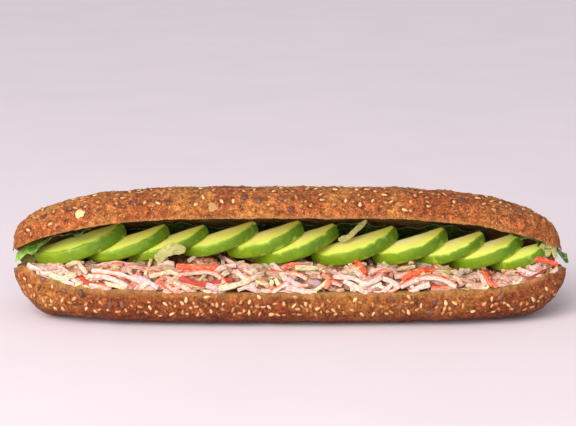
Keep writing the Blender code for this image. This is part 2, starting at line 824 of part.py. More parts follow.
def main():
    """Build the roll, then what lies in it."""
    clear_scene()
    bread = build_bread()
    flesh = finish_material("avocado_flesh", (0.55, 0.58, 0.06), 0.4)
    slices = [build_slice(index, flesh) for index in range(len(SLICES))]
    leaves = build_lettuce()
    bpy.context.view_layer.update()
    build_salad([bvh_of(piece) for piece in [bread] + slices + leaves])


main()
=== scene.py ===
"""Submarine sandwich: the dressed visual model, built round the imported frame.

The roll, its seeds, the surimi salad, the avocado slices and the lettuce each have a class.
Sizes are in millimetres in the classes and in metres in the meshes. The length runs along X,
the open side faces -Y, and +Z is up.
"""

import logging
import math
import random
from collections.abc import Callable, Iterable, Sequence
from dataclasses import dataclass, field
from enum import Enum

import bmesh
import bpy
import numpy as np
from mathutils import Matrix, Vector, noise
from mathutils.bvhtree import BVHTree
from mathutils.kdtree import KDTree


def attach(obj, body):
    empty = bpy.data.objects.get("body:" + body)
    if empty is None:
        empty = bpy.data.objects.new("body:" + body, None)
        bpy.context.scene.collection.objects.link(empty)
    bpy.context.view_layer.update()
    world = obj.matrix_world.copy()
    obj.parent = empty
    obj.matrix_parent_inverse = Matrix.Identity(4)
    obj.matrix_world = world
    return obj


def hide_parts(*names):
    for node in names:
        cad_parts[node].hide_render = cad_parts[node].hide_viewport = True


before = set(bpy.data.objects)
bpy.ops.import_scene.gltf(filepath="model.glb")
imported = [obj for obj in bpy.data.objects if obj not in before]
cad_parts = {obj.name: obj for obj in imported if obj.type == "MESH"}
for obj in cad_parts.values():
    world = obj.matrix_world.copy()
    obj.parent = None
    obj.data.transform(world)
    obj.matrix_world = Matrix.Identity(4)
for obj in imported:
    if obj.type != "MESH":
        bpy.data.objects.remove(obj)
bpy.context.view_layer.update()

LOG = logging.getLogger("sandwich")
MM = 0.001
BODY = "root"


# Small sums that the shapes share


def tapered(share: float, power: float) -> float:
    """Give what is left of a full size at a share of the half length."""
    return max(0.0, 1.0 - min(1.0, abs(share)) ** power) ** (1.0 / power)


def beyond(value: float, start: float, span: float) -> float:
    """Give how far a value has gone past a start, in spans, never below zero."""
    return max(0.0, (value - start) / span)


def signed_power(value: float, power: float) -> float:
    """Raise a value to a power and keep its sign."""
    return math.copysign(abs(value) ** power, value)


def relief(place: Sequence[float], size: float, depth: float) -> float:
    """Give the height of uneven lumps of one size, in the unit of the depth.

    Args:
        place: Point in metres.
        size: Width of a lump in millimetres.
        depth: Largest height or depth.

    Returns:
        Height at the point, the same on every run.
    """
    scale = 1.0 / (size * MM)
    return depth * noise.noise(Vector((place[0] * scale, place[1] * scale, place[2] * scale)))


def rounded_ring(outline: Sequence[Sequence[float]], count: int, passes: int) -> np.ndarray:
    """Space points evenly along a closed outline and round its corners off.

    Args:
        outline: Corners of the outline.
        count: Number of points wanted.
        passes: How often each point moves towards its neighbours.

    Returns:
        Array of count points.
    """
    loop = np.array(list(outline) + [outline[0]])
    steps = np.sqrt((np.diff(loop, axis=0) ** 2).sum(axis=1))
    far = np.concatenate(([0.0], np.cumsum(steps)))
    marks = np.linspace(0.0, far[-1], count, endpoint=False)
    ring = np.column_stack([np.interp(marks, far, loop[:, axis]) for axis in range(loop.shape[1])])
    for _ in range(passes):
        ring = 0.25 * np.roll(ring, 1, axis=0) + 0.5 * ring + 0.25 * np.roll(ring, -1, axis=0)
    return ring


def smooth_run(values: np.ndarray, marks: np.ndarray) -> np.ndarray:
    """Pass a smooth curve through values at whole marks.

    Args:
        values: One coordinate of the points.
        marks: Where the curve is wanted, as fractional indices.

    Returns:
        The coordinate at each mark.
    """
    ends = np.concatenate(([2 * values[0] - values[1]], values, [2 * values[-1] - values[-2]]))
    base = np.minimum(marks.astype(int), len(values) - 2)
    part = marks - base
    p0, p1, p2, p3 = ends[base], ends[base + 1], ends[base + 2], ends[base + 3]
    return 0.5 * (
        2 * p1
        + (p2 - p0) * part
        + (2 * p0 - 5 * p1 + 4 * p2 - p3) * part**2
        + (3 * p1 - p0 - 3 * p2 + p3) * part**3
    )


def add_skin(bm: bmesh.types.BMesh, rings: np.ndarray, traits: dict[str, np.ndarray]) -> None:
    """Lay a grid round rings of points as a closed skin.

    Args:
        bm: Mesh that the skin joins.
        rings: Array of rings, each of points in metres. The first and last are closed up.
        traits: Named values for each point: numbers, vectors of three or colours of four.
    """
    count, around = rings.shape[:2]
    layers = {}
    for name, values in traits.items():
        kinds = bm.verts.layers.float
        if values.ndim == 3:
            kinds = bm.verts.layers.float_color
            if values.shape[2] == 3:
                kinds = bm.verts.layers.float_vector
        layers[name] = kinds.get(name) or kinds.new(name)
    made = bmesh.ops.create_grid(bm, x_segments=count - 1, y_segments=around, size=0.5)
    for vert in made["verts"]:
        row = round((vert.co.x + 0.5) * (count - 1))
        step = round((vert.co.y + 0.5) * around) % around
        vert.co = rings[row, step]
        for name, layer in layers.items():
            vert[layer] = traits[name][row, step]


def closed_up(bm: bmesh.types.BMesh) -> bmesh.types.BMesh:
    """Merge seams and poles of a mesh and turn its faces outwards.

    Args:
        bm: Mesh to close up.

    Returns:
        The same mesh.
    """
    bmesh.ops.remove_doubles(bm, verts=bm.verts, dist=0.002 * MM)
    bmesh.ops.dissolve_degenerate(bm, edges=bm.edges, dist=0.001 * MM)
    bmesh.ops.recalc_face_normals(bm, faces=bm.faces)
    return bm


def to_piece(
    name: str, bm: bmesh.types.BMesh, finish: bpy.types.Material, nodes: Iterable[str]
) -> bpy.types.Object:
    """Make a mesh a piece of the sandwich that rides on its body.

    Args:
        name: Name of the piece.
        bm: Mesh in place, which is freed.
        finish: Material of the piece.
        nodes: Solids that the piece stands for.

    Returns:
        The new object.
    """
    mesh = bpy.data.meshes.new(name)
    bm.to_mesh(mesh)
    bm.free()
    mesh.shade_smooth()
    mesh.set_sharp_from_angle(angle=math.radians(55))
    mesh.materials.append(finish)
    piece = bpy.data.objects.new(name, mesh)
    bpy.context.scene.collection.objects.link(piece)
    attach(piece, BODY)
    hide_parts(*nodes)
    LOG.info("%s: %d faces", name, len(mesh.polygons))
    return piece


def linear(code: str) -> tuple[float, float, float, float]:
    """Turn an sRGB hex colour to a linear one.

    Args:
        code: Colour as a hash and six hex digits.

    Returns:
        Linear red, green and blue, and an alpha of 1.
    """
    parts = [int(code[at : at + 2], 16) / 255 for at in (1, 3, 5)]
    low = [part / 12.92 if part <= 0.04045 else ((part + 0.055) / 1.055) ** 2.4 for part in parts]
    return (low[0], low[1], low[2], 1.0)


def per_mm(size: float) -> float:
    """Give the texture scale at which a pattern's features are so many millimetres wide."""
    return 1.0 / (size * MM)


def add_node(
    tree: bpy.types.NodeTree, kind: str, settings: dict[str, object], links: dict[object, object]
) -> bpy.types.Node:
    """Add a shader node with its settings and what feeds its sockets.

    Args:
        tree: Node tree of the material.
        kind: Blender's name of the node.
        settings: Properties of the node. The stops of a ramp are pairs of place and colour.
        links: For each input socket, a value or the output socket that feeds it.

    Returns:
        The new node.
    """
    node = tree.nodes.new(kind)
    for name, value in settings.items():
        if name == "stops":
            ramp = node.color_ramp
            while len(ramp.elements) < len(value):
                ramp.elements.new(0.5)
            for element, (place, colour) in zip(ramp.elements, value):
                element.position = place
                element.color = linear(colour)
        else:
            setattr(node, name, value)
    for socket, value in links.items():
        if isinstance(value, bpy.types.NodeSocket):
            tree.links.new(value, node.inputs[socket])
        else:
            node.inputs[socket].default_value = value
    return node


def new_finish(name: str, settings: dict[str, object]) -> tuple[bpy.types.Material, bpy.types.Node]:
    """Start a material and set the constant values of its shader.

    Args:
        name: Name of the material.
        settings: Values of the shader's own sockets.

    Returns:
        The material and its shader node.
    """
    material = bpy.data.materials.new(name)
    material.use_nodes = True
    shader = material.node_tree.nodes["Principled BSDF"]
    for socket, value in settings.items():
        shader.inputs[socket].default_value = value
    return material, shader


# Finishes


# Painted shade and highlight in the crust's colour: darker in the hollows of its relief, lighter on its
# crests
@dataclass(frozen=True)
class WholegrainCrust:
    """Oven-baked wholegrain crust: dull, rough and mottled from golden to red brown.

    Bran makes fine dark specks, burst blisters make pale ones, and the cut edge is paler crumb.
    """

    broad: float = 30.0
    mottle: float = 3.6
    grain: float = 1.1
    speck: float = 2.6
    bran: float = 4.1

    def build(self) -> bpy.types.Material:
        """Make the material.

        Returns:
            The material.
        """
        material, shader = new_finish(
            "wholegrain_crust", {"Roughness": 0.72, "Specular IOR Level": 0.28}
        )
        tree = material.node_tree
        place = add_node(tree, "ShaderNodeTexCoord", {}, {}).outputs["Object"]
        broad = add_node(
            tree, "ShaderNodeTexNoise", {}, {"Vector": place, "Scale": per_mm(self.broad), "Detail": 3.0}
        )
        tone = add_node(
            tree,
            "ShaderNodeValToRGB",
            {"stops": ((0.34, "#a65b2f"), (0.5, "#b46b3a"), (0.66, "#c98b48"))},
            {"Fac": broad.outputs["Fac"]},
        )
        mottle = add_node(
            tree,
            "ShaderNodeTexNoise",
            {},
            {
                "Vector": place, "Scale": per_mm(self.mottle), "Detail": 6.0,
                "Roughness": 0.68, "Distortion": 0.5,
            },
        )
        # Painted shade and highlight over the crust's own mottle: dark where the bump is low, pale where
        # it is high
        patch_with_pit_shade = add_node(
            tree,
            "ShaderNodeValToRGB",
            {"stops": ((0.36, "#69564a"), (0.46, "#a89e96"), (0.54, "#c2bdb6"), (0.64, "#f4ecdc"))},
            {"Fac": mottle.outputs["Fac"]},
        )
        mixed = add_node(
            tree,
            "ShaderNodeMix",
            {"data_type": "RGBA", "blend_type": "OVERLAY"},
            {0: 0.8, 6: tone.outputs["Color"], 7: patch_with_pit_shade.outputs["Color"]},
        )
        grain = add_node(
            tree,
            "ShaderNodeTexNoise",
            {},
            {"Vector": place, "Scale": per_mm(self.grain), "Detail": 4.0, "Roughness": 0.7},
        )
        # Painted shade and highlight at the grain's scale: dark in its hollows, light on its crests
        grit_with_pit_shade = add_node(
            tree,
            "ShaderNodeValToRGB",
            {"stops": ((0.36, "#5e483c"), (0.47, "#b0a8a0"), (0.55, "#c2beb8"), (0.64, "#faf0e2"))},
            {"Fac": grain.outputs["Fac"]},
        )
        gritty = add_node(
            tree,
            "ShaderNodeMix",
            {"data_type": "RGBA", "blend_type": "OVERLAY"},
            {0: 0.74, 6: mixed.outputs[2], 7: grit_with_pit_shade.outputs["Color"]},
        )
        cells = add_node(
            tree, "ShaderNodeTexVoronoi", {}, {"Vector": place, "Scale": per_mm(self.speck)}
        )
        fleck = add_node(
            tree,
            "ShaderNodeValToRGB",
            {"stops": ((0.1, "#ffffff"), (0.2, "#000000"))},
            {"Fac": cells.outputs["Distance"]},
        )
        pale = add_node(
            tree,
            "ShaderNodeMix",
            {"data_type": "RGBA"},
            {0: fleck.outputs["Color"], 6: gritty.outputs[2], 7: linear("#d9a873")},
        )
        bran_cells = add_node(
            tree, "ShaderNodeTexVoronoi", {}, {"Vector": place, "Scale": per_mm(self.bran)}
        )
        bran = add_node(
            tree,
            "ShaderNodeValToRGB",
            {"stops": ((0.1, "#ffffff"), (0.17, "#000000"))},
            {"Fac": bran_cells.outputs["Distance"]},
        )
        dark = add_node(
            tree,
            "ShaderNodeMix",
            {"data_type": "RGBA"},
            {0: bran.outputs["Color"], 6: pale.outputs[2], 7: linear("#6c3d22")},
        )
        # Painted shade: the crust is darkened low down and in a ring round each seed
        toast = add_node(tree, "ShaderNodeAttribute", {"attribute_name": "toast"}, {})
        crust_with_painted_shade = add_node(
            tree,
            "ShaderNodeMix",
            {"data_type": "RGBA", "blend_type": "MULTIPLY"},
            {0: toast.outputs["Fac"], 6: dark.outputs[2], 7: linear("#a88062")},
        )
        crumb = add_node(tree, "ShaderNodeAttribute", {"attribute_name": "crumb"}, {})
        crumb_tone = add_node(
            tree,
            "ShaderNodeValToRGB",
            {"stops": ((0.35, "#9a6c34"), (0.62, "#c69a5c"))},
            {"Fac": mottle.outputs["Fac"]},
        )
        whole = add_node(
            tree,
            "ShaderNodeMix",
            {"data_type": "RGBA"},
            {0: crumb.outputs["Fac"], 6: crust_with_painted_shade.outputs[2], 7: crumb_tone.outputs["Color"]},
        )
        tree.links.new(whole.outputs[2], shader.inputs["Base Color"])
        height = add_node(
            tree,
            "ShaderNodeMath",
            {"operation": "ADD"},
            {0: grain.outputs["Fac"], 1: mottle.outputs["Fac"]},
        )
        bump = add_node(
            tree,
            "ShaderNodeBump",
            {},
            {"Height": height.outputs["Value"], "Strength": 1.0, "Distance": 1.6 * MM},
        )
        tree.links.new(bump.outputs["Normal"], shader.inputs["Normal"])
        return material


@dataclass(frozen=True)
class SeedHusk:
    """Dry seed or flake: a satin husk whose tone differs from one seed to the next."""

    name: str
    light: str
    deep: str
    roughness: float
    grain: float = 0.9

    def build(self) -> bpy.types.Material:
        """Make the material.

        Returns:
            The material.
        """
        material, shader = new_finish(self.name, {"Roughness": self.roughness})
        tree = material.node_tree
        tone = add_node(tree, "ShaderNodeAttribute", {"attribute_name": "tone"}, {})
        place = add_node(tree, "ShaderNodeTexCoord", {}, {}).outputs["Object"]
        grain = add_node(
            tree, "ShaderNodeTexNoise", {}, {"Vector": place, "Scale": per_mm(self.grain), "Detail": 3.0}
        )
        blend = add_node(
            tree,
            "ShaderNodeMath",
            {"operation": "MULTIPLY_ADD", "use_clamp": True},
            {0: grain.outputs["Fac"], 1: 0.5, 2: tone.outputs["Fac"]},
        )
        colour = add_node(
            tree,
            "ShaderNodeValToRGB",
            {"stops": ((0.2, self.light), (1.0, self.deep))},
            {"Fac": blend.outputs["Value"]},
        )
        tree.links.new(colour.outputs["Color"], shader.inputs["Base Color"])
        bump = add_node(
            tree,
            "ShaderNodeBump",
            {},
            {"Height": grain.outputs["Fac"], "Strength": 0.3, "Distance": 0.2 * MM},
        )
        tree.links.new(bump.outputs["Normal"], shader.inputs["Normal"])
        return material


@dataclass(frozen=True)
class AvocadoFlesh:
    """Ripe avocado cut with a knife: moist, buttery, green at the rim and yellow inside."""

    mottle: float = 6.0
    streak: float = 1.4

    def build(self) -> bpy.types.Material:
        """Make the material.

        Returns:
            The material.
        """
        material, shader = new_finish(
            "avocado_flesh", {"Roughness": 0.42, "Specular IOR Level": 0.35}
        )
        tree = material.node_tree
        place = add_node(tree, "ShaderNodeTexCoord", {}, {}).outputs["Object"]
        depth = add_node(tree, "ShaderNodeAttribute", {"attribute_name": "depth"}, {})
        turn = add_node(tree, "ShaderNodeAttribute", {"attribute_name": "turn"}, {})
        mottle = add_node(
            tree,
            "ShaderNodeTexNoise",
            {},
            {"Vector": place, "Scale": per_mm(self.mottle), "Detail": 5.0, "Roughness": 0.6},
        )
        shifted = add_node(
            tree,
            "ShaderNodeMath",
            {"operation": "MULTIPLY_ADD"},
            {0: mottle.outputs["Fac"], 1: 0.14, 2: depth.outputs["Fac"]},
        )
        face = add_node(
            tree,
            "ShaderNodeValToRGB",
            {"stops": ((0.09, "#d4e658"), (0.2, "#e4ec68"), (0.4, "#f2ee78"), (0.75, "#f8f2a0"))},
            {"Fac": shifted.outputs["Value"]},
        )
        # Painted shade on the rim: the turn attribute darkens its green from the slice's left end to its
        # right end
        mottle_and_painted_shade = add_node(
            tree,
            "ShaderNodeMath",
            {"operation": "MULTIPLY_ADD"},
            {0: mottle.outputs["Fac"], 1: 0.9, 2: turn.outputs["Fac"]},
        )
        # The rim's own deep green, darkened further as painted shade
        shaded_band = add_node(
            tree,
            "ShaderNodeValToRGB",
            {
                "stops": (
                    (0.3, "#98a424"),
                    (0.5, "#7d9716"),
                    (0.75, "#5f800f"),
                    (1.0, "#3d610c"),
                )
            },
            {"Fac": mottle_and_painted_shade.outputs["Value"]},
        )
        inside = add_node(
            tree,
            "ShaderNodeValToRGB",
            {"stops": ((0.08, "#000000"), (0.13, "#ffffff"))},
            {"Fac": shifted.outputs["Value"]},
        )
        colour = add_node(
            tree,
            "ShaderNodeMix",
            {"data_type": "RGBA"},
            {0: inside.outputs["Color"], 6: shaded_band.outputs["Color"], 7: face.outputs["Color"]},
        )
        # The pale attribute holds pale spots of flesh and one painted highlight
        pale = add_node(tree, "ShaderNodeAttribute", {"attribute_name": "pale"}, {})
        pale_spotted_and_lit = add_node(
            tree,
            "ShaderNodeMix",
            {"data_type": "RGBA"},
            {0: pale.outputs["Fac"], 6: colour.outputs[2], 7: linear("#d3dc9c")},
        )
        bruise = add_node(tree, "ShaderNodeAttribute", {"attribute_name": "bruise"}, {})
        spotted = add_node(
            tree,
            "ShaderNodeMix",
            {"data_type": "RGBA"},
            {0: bruise.outputs["Fac"], 6: pale_spotted_and_lit.outputs[2], 7: linear("#8a4a1c")},
        )
        tree.links.new(spotted.outputs[2], shader.inputs["Base Color"])
        streak = add_node(
            tree, "ShaderNodeTexNoise", {}, {"Vector": place, "Scale": per_mm(self.streak), "Detail": 2.0}
        )
        bump = add_node(
            tree,
            "ShaderNodeBump",
            {},
            {"Height": streak.outputs["Fac"], "Strength": 0.25, "Distance": 0.3 * MM},
        )
        tree.links.new(bump.outputs["Normal"], shader.inputs["Normal"])
        return material


@dataclass(frozen=True)
class ShreddedFlesh:
    """Moist shreds with fibres along their length, each in its own tint.

    On surimi one side of a shred has the red coloured skin of the stick it was torn from.
    """

    name: str
    fibre: float = 0.55
    roughness: float = 0.42

    def build(self) -> bpy.types.Material:
        """Make the material.

        Returns:
            The material.
        """
        material, shader = new_finish(
            self.name, {"Roughness": self.roughness, "Specular IOR Level": 0.45}
        )
        tree = material.node_tree
        fibre = add_node(tree, "ShaderNodeAttribute", {"attribute_name": "fibre"}, {})
        along = add_node(
            tree, "ShaderNodeMapping", {}, {"Vector": fibre.outputs["Vector"], "Scale": (0.12, 1.0, 1.0)}
        )
        strands = add_node(
            tree,
            "ShaderNodeTexNoise",
            {},
            {"Vector": along.outputs["Vector"], "Scale": per_mm(self.fibre), "Detail": 3.0},
        )
        tint = add_node(tree, "ShaderNodeAttribute", {"attribute_name": "tint"}, {})
        # Painted shade and highlight: the flesh darkens in the grooves between the fibres and lightens on
        # their ridges, and the red skin ramp below does the same
        shade = add_node(
            tree,
            "ShaderNodeValToRGB",
            {"stops": ((0.34, "#a3857a"), (0.5, "#e8dcd6"), (0.62, "#ffffff"))},
            {"Fac": strands.outputs["Fac"]},
        )
        flesh = add_node(
            tree,
            "ShaderNodeMix",
            {"data_type": "RGBA", "blend_type": "MULTIPLY"},
            {0: 0.75, 6: tint.outputs["Color"], 7: shade.outputs["Color"]},
        )
        skin = add_node(tree, "ShaderNodeAttribute", {"attribute_name": "skin"}, {})
        red = add_node(
            tree,
            "ShaderNodeValToRGB",
            {"stops": ((0.34, "#a82a12"), (0.47, "#d6481c"), (0.56, "#e86630"), (0.68, "#f6a070"))},
            {"Fac": strands.outputs["Fac"]},
        )
        whole = add_node(
            tree,
            "ShaderNodeMix",
            {"data_type": "RGBA"},
            {0: skin.outputs["Fac"], 6: flesh.outputs[2], 7: red.outputs["Color"]},
        )
        tree.links.new(whole.outputs[2], shader.inputs["Base Color"])
        bump = add_node(
            tree,
            "ShaderNodeBump",
            {},
            {"Height": strands.outputs["Fac"], "Strength": 0.8, "Distance": 0.5 * MM},
        )
        tree.links.new(bump.outputs["Normal"], shader.inputs["Normal"])
        return material


@dataclass(frozen=True)
class DressedMince:
    """Minced salad under creamy dressing: pale lumps with pink, tan and green bits between."""

    lump: float = 2.4

    def build(self) -> bpy.types.Material:
        """Make the material.

        Returns:
            The material.
        """
        material, shader = new_finish("dressed_mince", {"Roughness": 0.6})
        tree = material.node_tree
        place = add_node(tree, "ShaderNodeTexCoord", {}, {}).outputs["Object"]
        cells = add_node(
            tree, "ShaderNodeTexVoronoi", {}, {"Vector": place, "Scale": per_mm(self.lump)}
        )
        parts = add_node(tree, "ShaderNodeSeparateColor", {}, {"Color": cells.outputs["Color"]})
        tone = add_node(
            tree,
            "ShaderNodeValToRGB",
            {
                "stops": (
                    (0.0, "#dca08c"),
                    (0.3, "#cc986c"),
                    (0.55, "#c8683e"),
                    (0.62, "#b29256"),
                    (0.8, "#939248"),
                    (0.9, "#deb4a2"),
                )
            },
            {"Fac": parts.outputs["Red"]},
        )
        # Painted shade: the mince darkens towards the edges of its lumps, in the gaps between them
        gap_shade = add_node(
            tree,
            "ShaderNodeValToRGB",
            {"stops": ((0.2, "#e6d0c2"), (0.65, "#643422"))},
            {"Fac": cells.outputs["Distance"]},
        )
        shaded = add_node(
            tree,
            "ShaderNodeMix",
            {"data_type": "RGBA", "blend_type": "MULTIPLY"},
            {0: 0.8, 6: tone.outputs["Color"], 7: gap_shade.outputs["Color"]},
        )
        tree.links.new(shaded.outputs[2], shader.inputs["Base Color"])
        bump = add_node(
            tree,
            "ShaderNodeBump",
            {"invert": True},
            {"Height": cells.outputs["Distance"], "Strength": 0.8, "Distance": 1.0 * MM},
        )
        tree.links.new(bump.outputs["Normal"], shader.inputs["Normal"])
        return material


@dataclass(frozen=True)
class LettuceLeaf:
    """Fresh lettuce: a waxy leaf with pale ribs, yellow green where it is young or thin."""

    vein: float = 4.5

    def build(self) -> bpy.types.Material:
        """Make the material.

        Returns:
            The material.
        """
        material, shader = new_finish(
            "lettuce_leaf", {"Roughness": 0.4, "Specular IOR Level": 0.4}
        )
        tree = material.node_tree
        place = add_node(tree, "ShaderNodeTexCoord", {}, {}).outputs["Object"]
        young = add_node(tree, "ShaderNodeAttribute", {"attribute_name": "young"}, {})
        veins = add_node(
            tree,
            "ShaderNodeTexVoronoi",
            {"feature": "DISTANCE_TO_EDGE"},
            {"Vector": place, "Scale": per_mm(self.vein)},
        )
        rib = add_node(
            tree,
            "ShaderNodeValToRGB",
            {"stops": ((0.02, "#ffffff"), (0.14, "#000000"))},
            {"Fac": veins.outputs["Distance"]},
        )
        tone = add_node(
            tree,
            "ShaderNodeValToRGB",
            {
                "stops": (
                    (0.0, "#2f4d14"),
                    (0.35, "#4f7d1e"),
                    (0.6, "#7fae35"),
                    (0.85, "#b7c977"),
                    (1.0, "#dfe3bd"),
                )
            },
            {"Fac": young.outputs["Fac"]},
        )
        ribbed = add_node(
            tree,
            "ShaderNodeMath",
            {"operation": "MULTIPLY"},
            {0: rib.outputs["Color"], 1: 0.35},
        )
        whole = add_node(
            tree,
            "ShaderNodeMix",
            {"data_type": "RGBA"},
            {0: ribbed.outputs["Value"], 6: tone.outputs["Color"], 7: linear("#c5d68a")},
        )
        tree.links.new(whole.outputs[2], shader.inputs["Base Color"])
        bump = add_node(
            tree,
            "ShaderNodeBump",
            {},
            {"Height": veins.outputs["Distance"], "Strength": 0.5, "Distance": 0.5 * MM},
        )
        tree.links.new(bump.outputs["Normal"], shader.inputs["Normal"])
        return material


@dataclass(frozen=True)
class PaleFloor:
    """Matte pale board with a faint pink cast and no gloss."""

    colour: str = "#e6dae1"
    cloud: float = 90.0

    def build(self) -> bpy.types.Material:
        """Make the material.

        Returns:
            The material.
        """
        material, shader = new_finish("pale_floor", {"Roughness": 0.9, "Specular IOR Level": 0.1})
        tree = material.node_tree
        place = add_node(tree, "ShaderNodeTexCoord", {}, {}).outputs["Object"]
        cloud = add_node(tree, "ShaderNodeTexNoise", {}, {"Vector": place, "Scale": per_mm(self.cloud)})
        tone = add_node(
            tree,
            "ShaderNodeValToRGB",
            {"stops": ((0.3, self.colour), (0.7, "#e9dde3"))},
            {"Fac": cloud.outputs["Fac"]},
        )
        tree.links.new(tone.outputs["Color"], shader.inputs["Base Color"])
        return material


# The view, from which some seeds and shreds are placed


@dataclass(frozen=True)
class Viewpoint:
    """The camera: low in front of the open side, looking along +Y and a little down."""

    place: tuple[float, float, float] = (-1.0, -819.05, 241.82)
    pitch: float = 13.0
    lens: float = 100.0
    sensor: float = 36.0
    width: int = 576
    height: int = 426

    def ray(self, spot: Sequence[float]) -> tuple[Vector, Vector]:
        """Give the start and direction of the ray through a spot of the image.

        Args:
            spot: Column and row in the image, from its upper left corner.

        Returns:
            Start point in metres and unit direction.
        """
        focal = self.lens / self.sensor * self.width
        right = (spot[0] - self.width / 2) / focal
        up = -(spot[1] - self.height / 2) / focal
        down = math.radians(self.pitch)
        towards = Vector(
            (right, math.cos(down) + up * math.sin(down), -math.sin(down) + up * math.cos(down))
        )
        return Vector(self.place) * MM, towards.normalized()

    def at(self, spot: Sequence[float], across: float) -> Vector:
        """Give the point seen at a spot of the image that lies so many millimetres across."""
        start, towards = self.ray(spot)
        return start + towards * ((across * MM - start.y) / towards.y)

    def build(self) -> None:
        """Make the camera and set it as the scene's own."""
        data = bpy.data.cameras.new("camera")
        data.lens = self.lens
        data.sensor_width = self.sensor
        data.clip_start = 0.01
        camera = bpy.data.objects.new("camera", data)
        camera.location = Vector(self.place) * MM
        camera.rotation_euler = (math.radians(90 - self.pitch), 0.0, 0.0)
        bpy.context.scene.collection.objects.link(camera)
        bpy.context.scene.camera = camera


# The roll


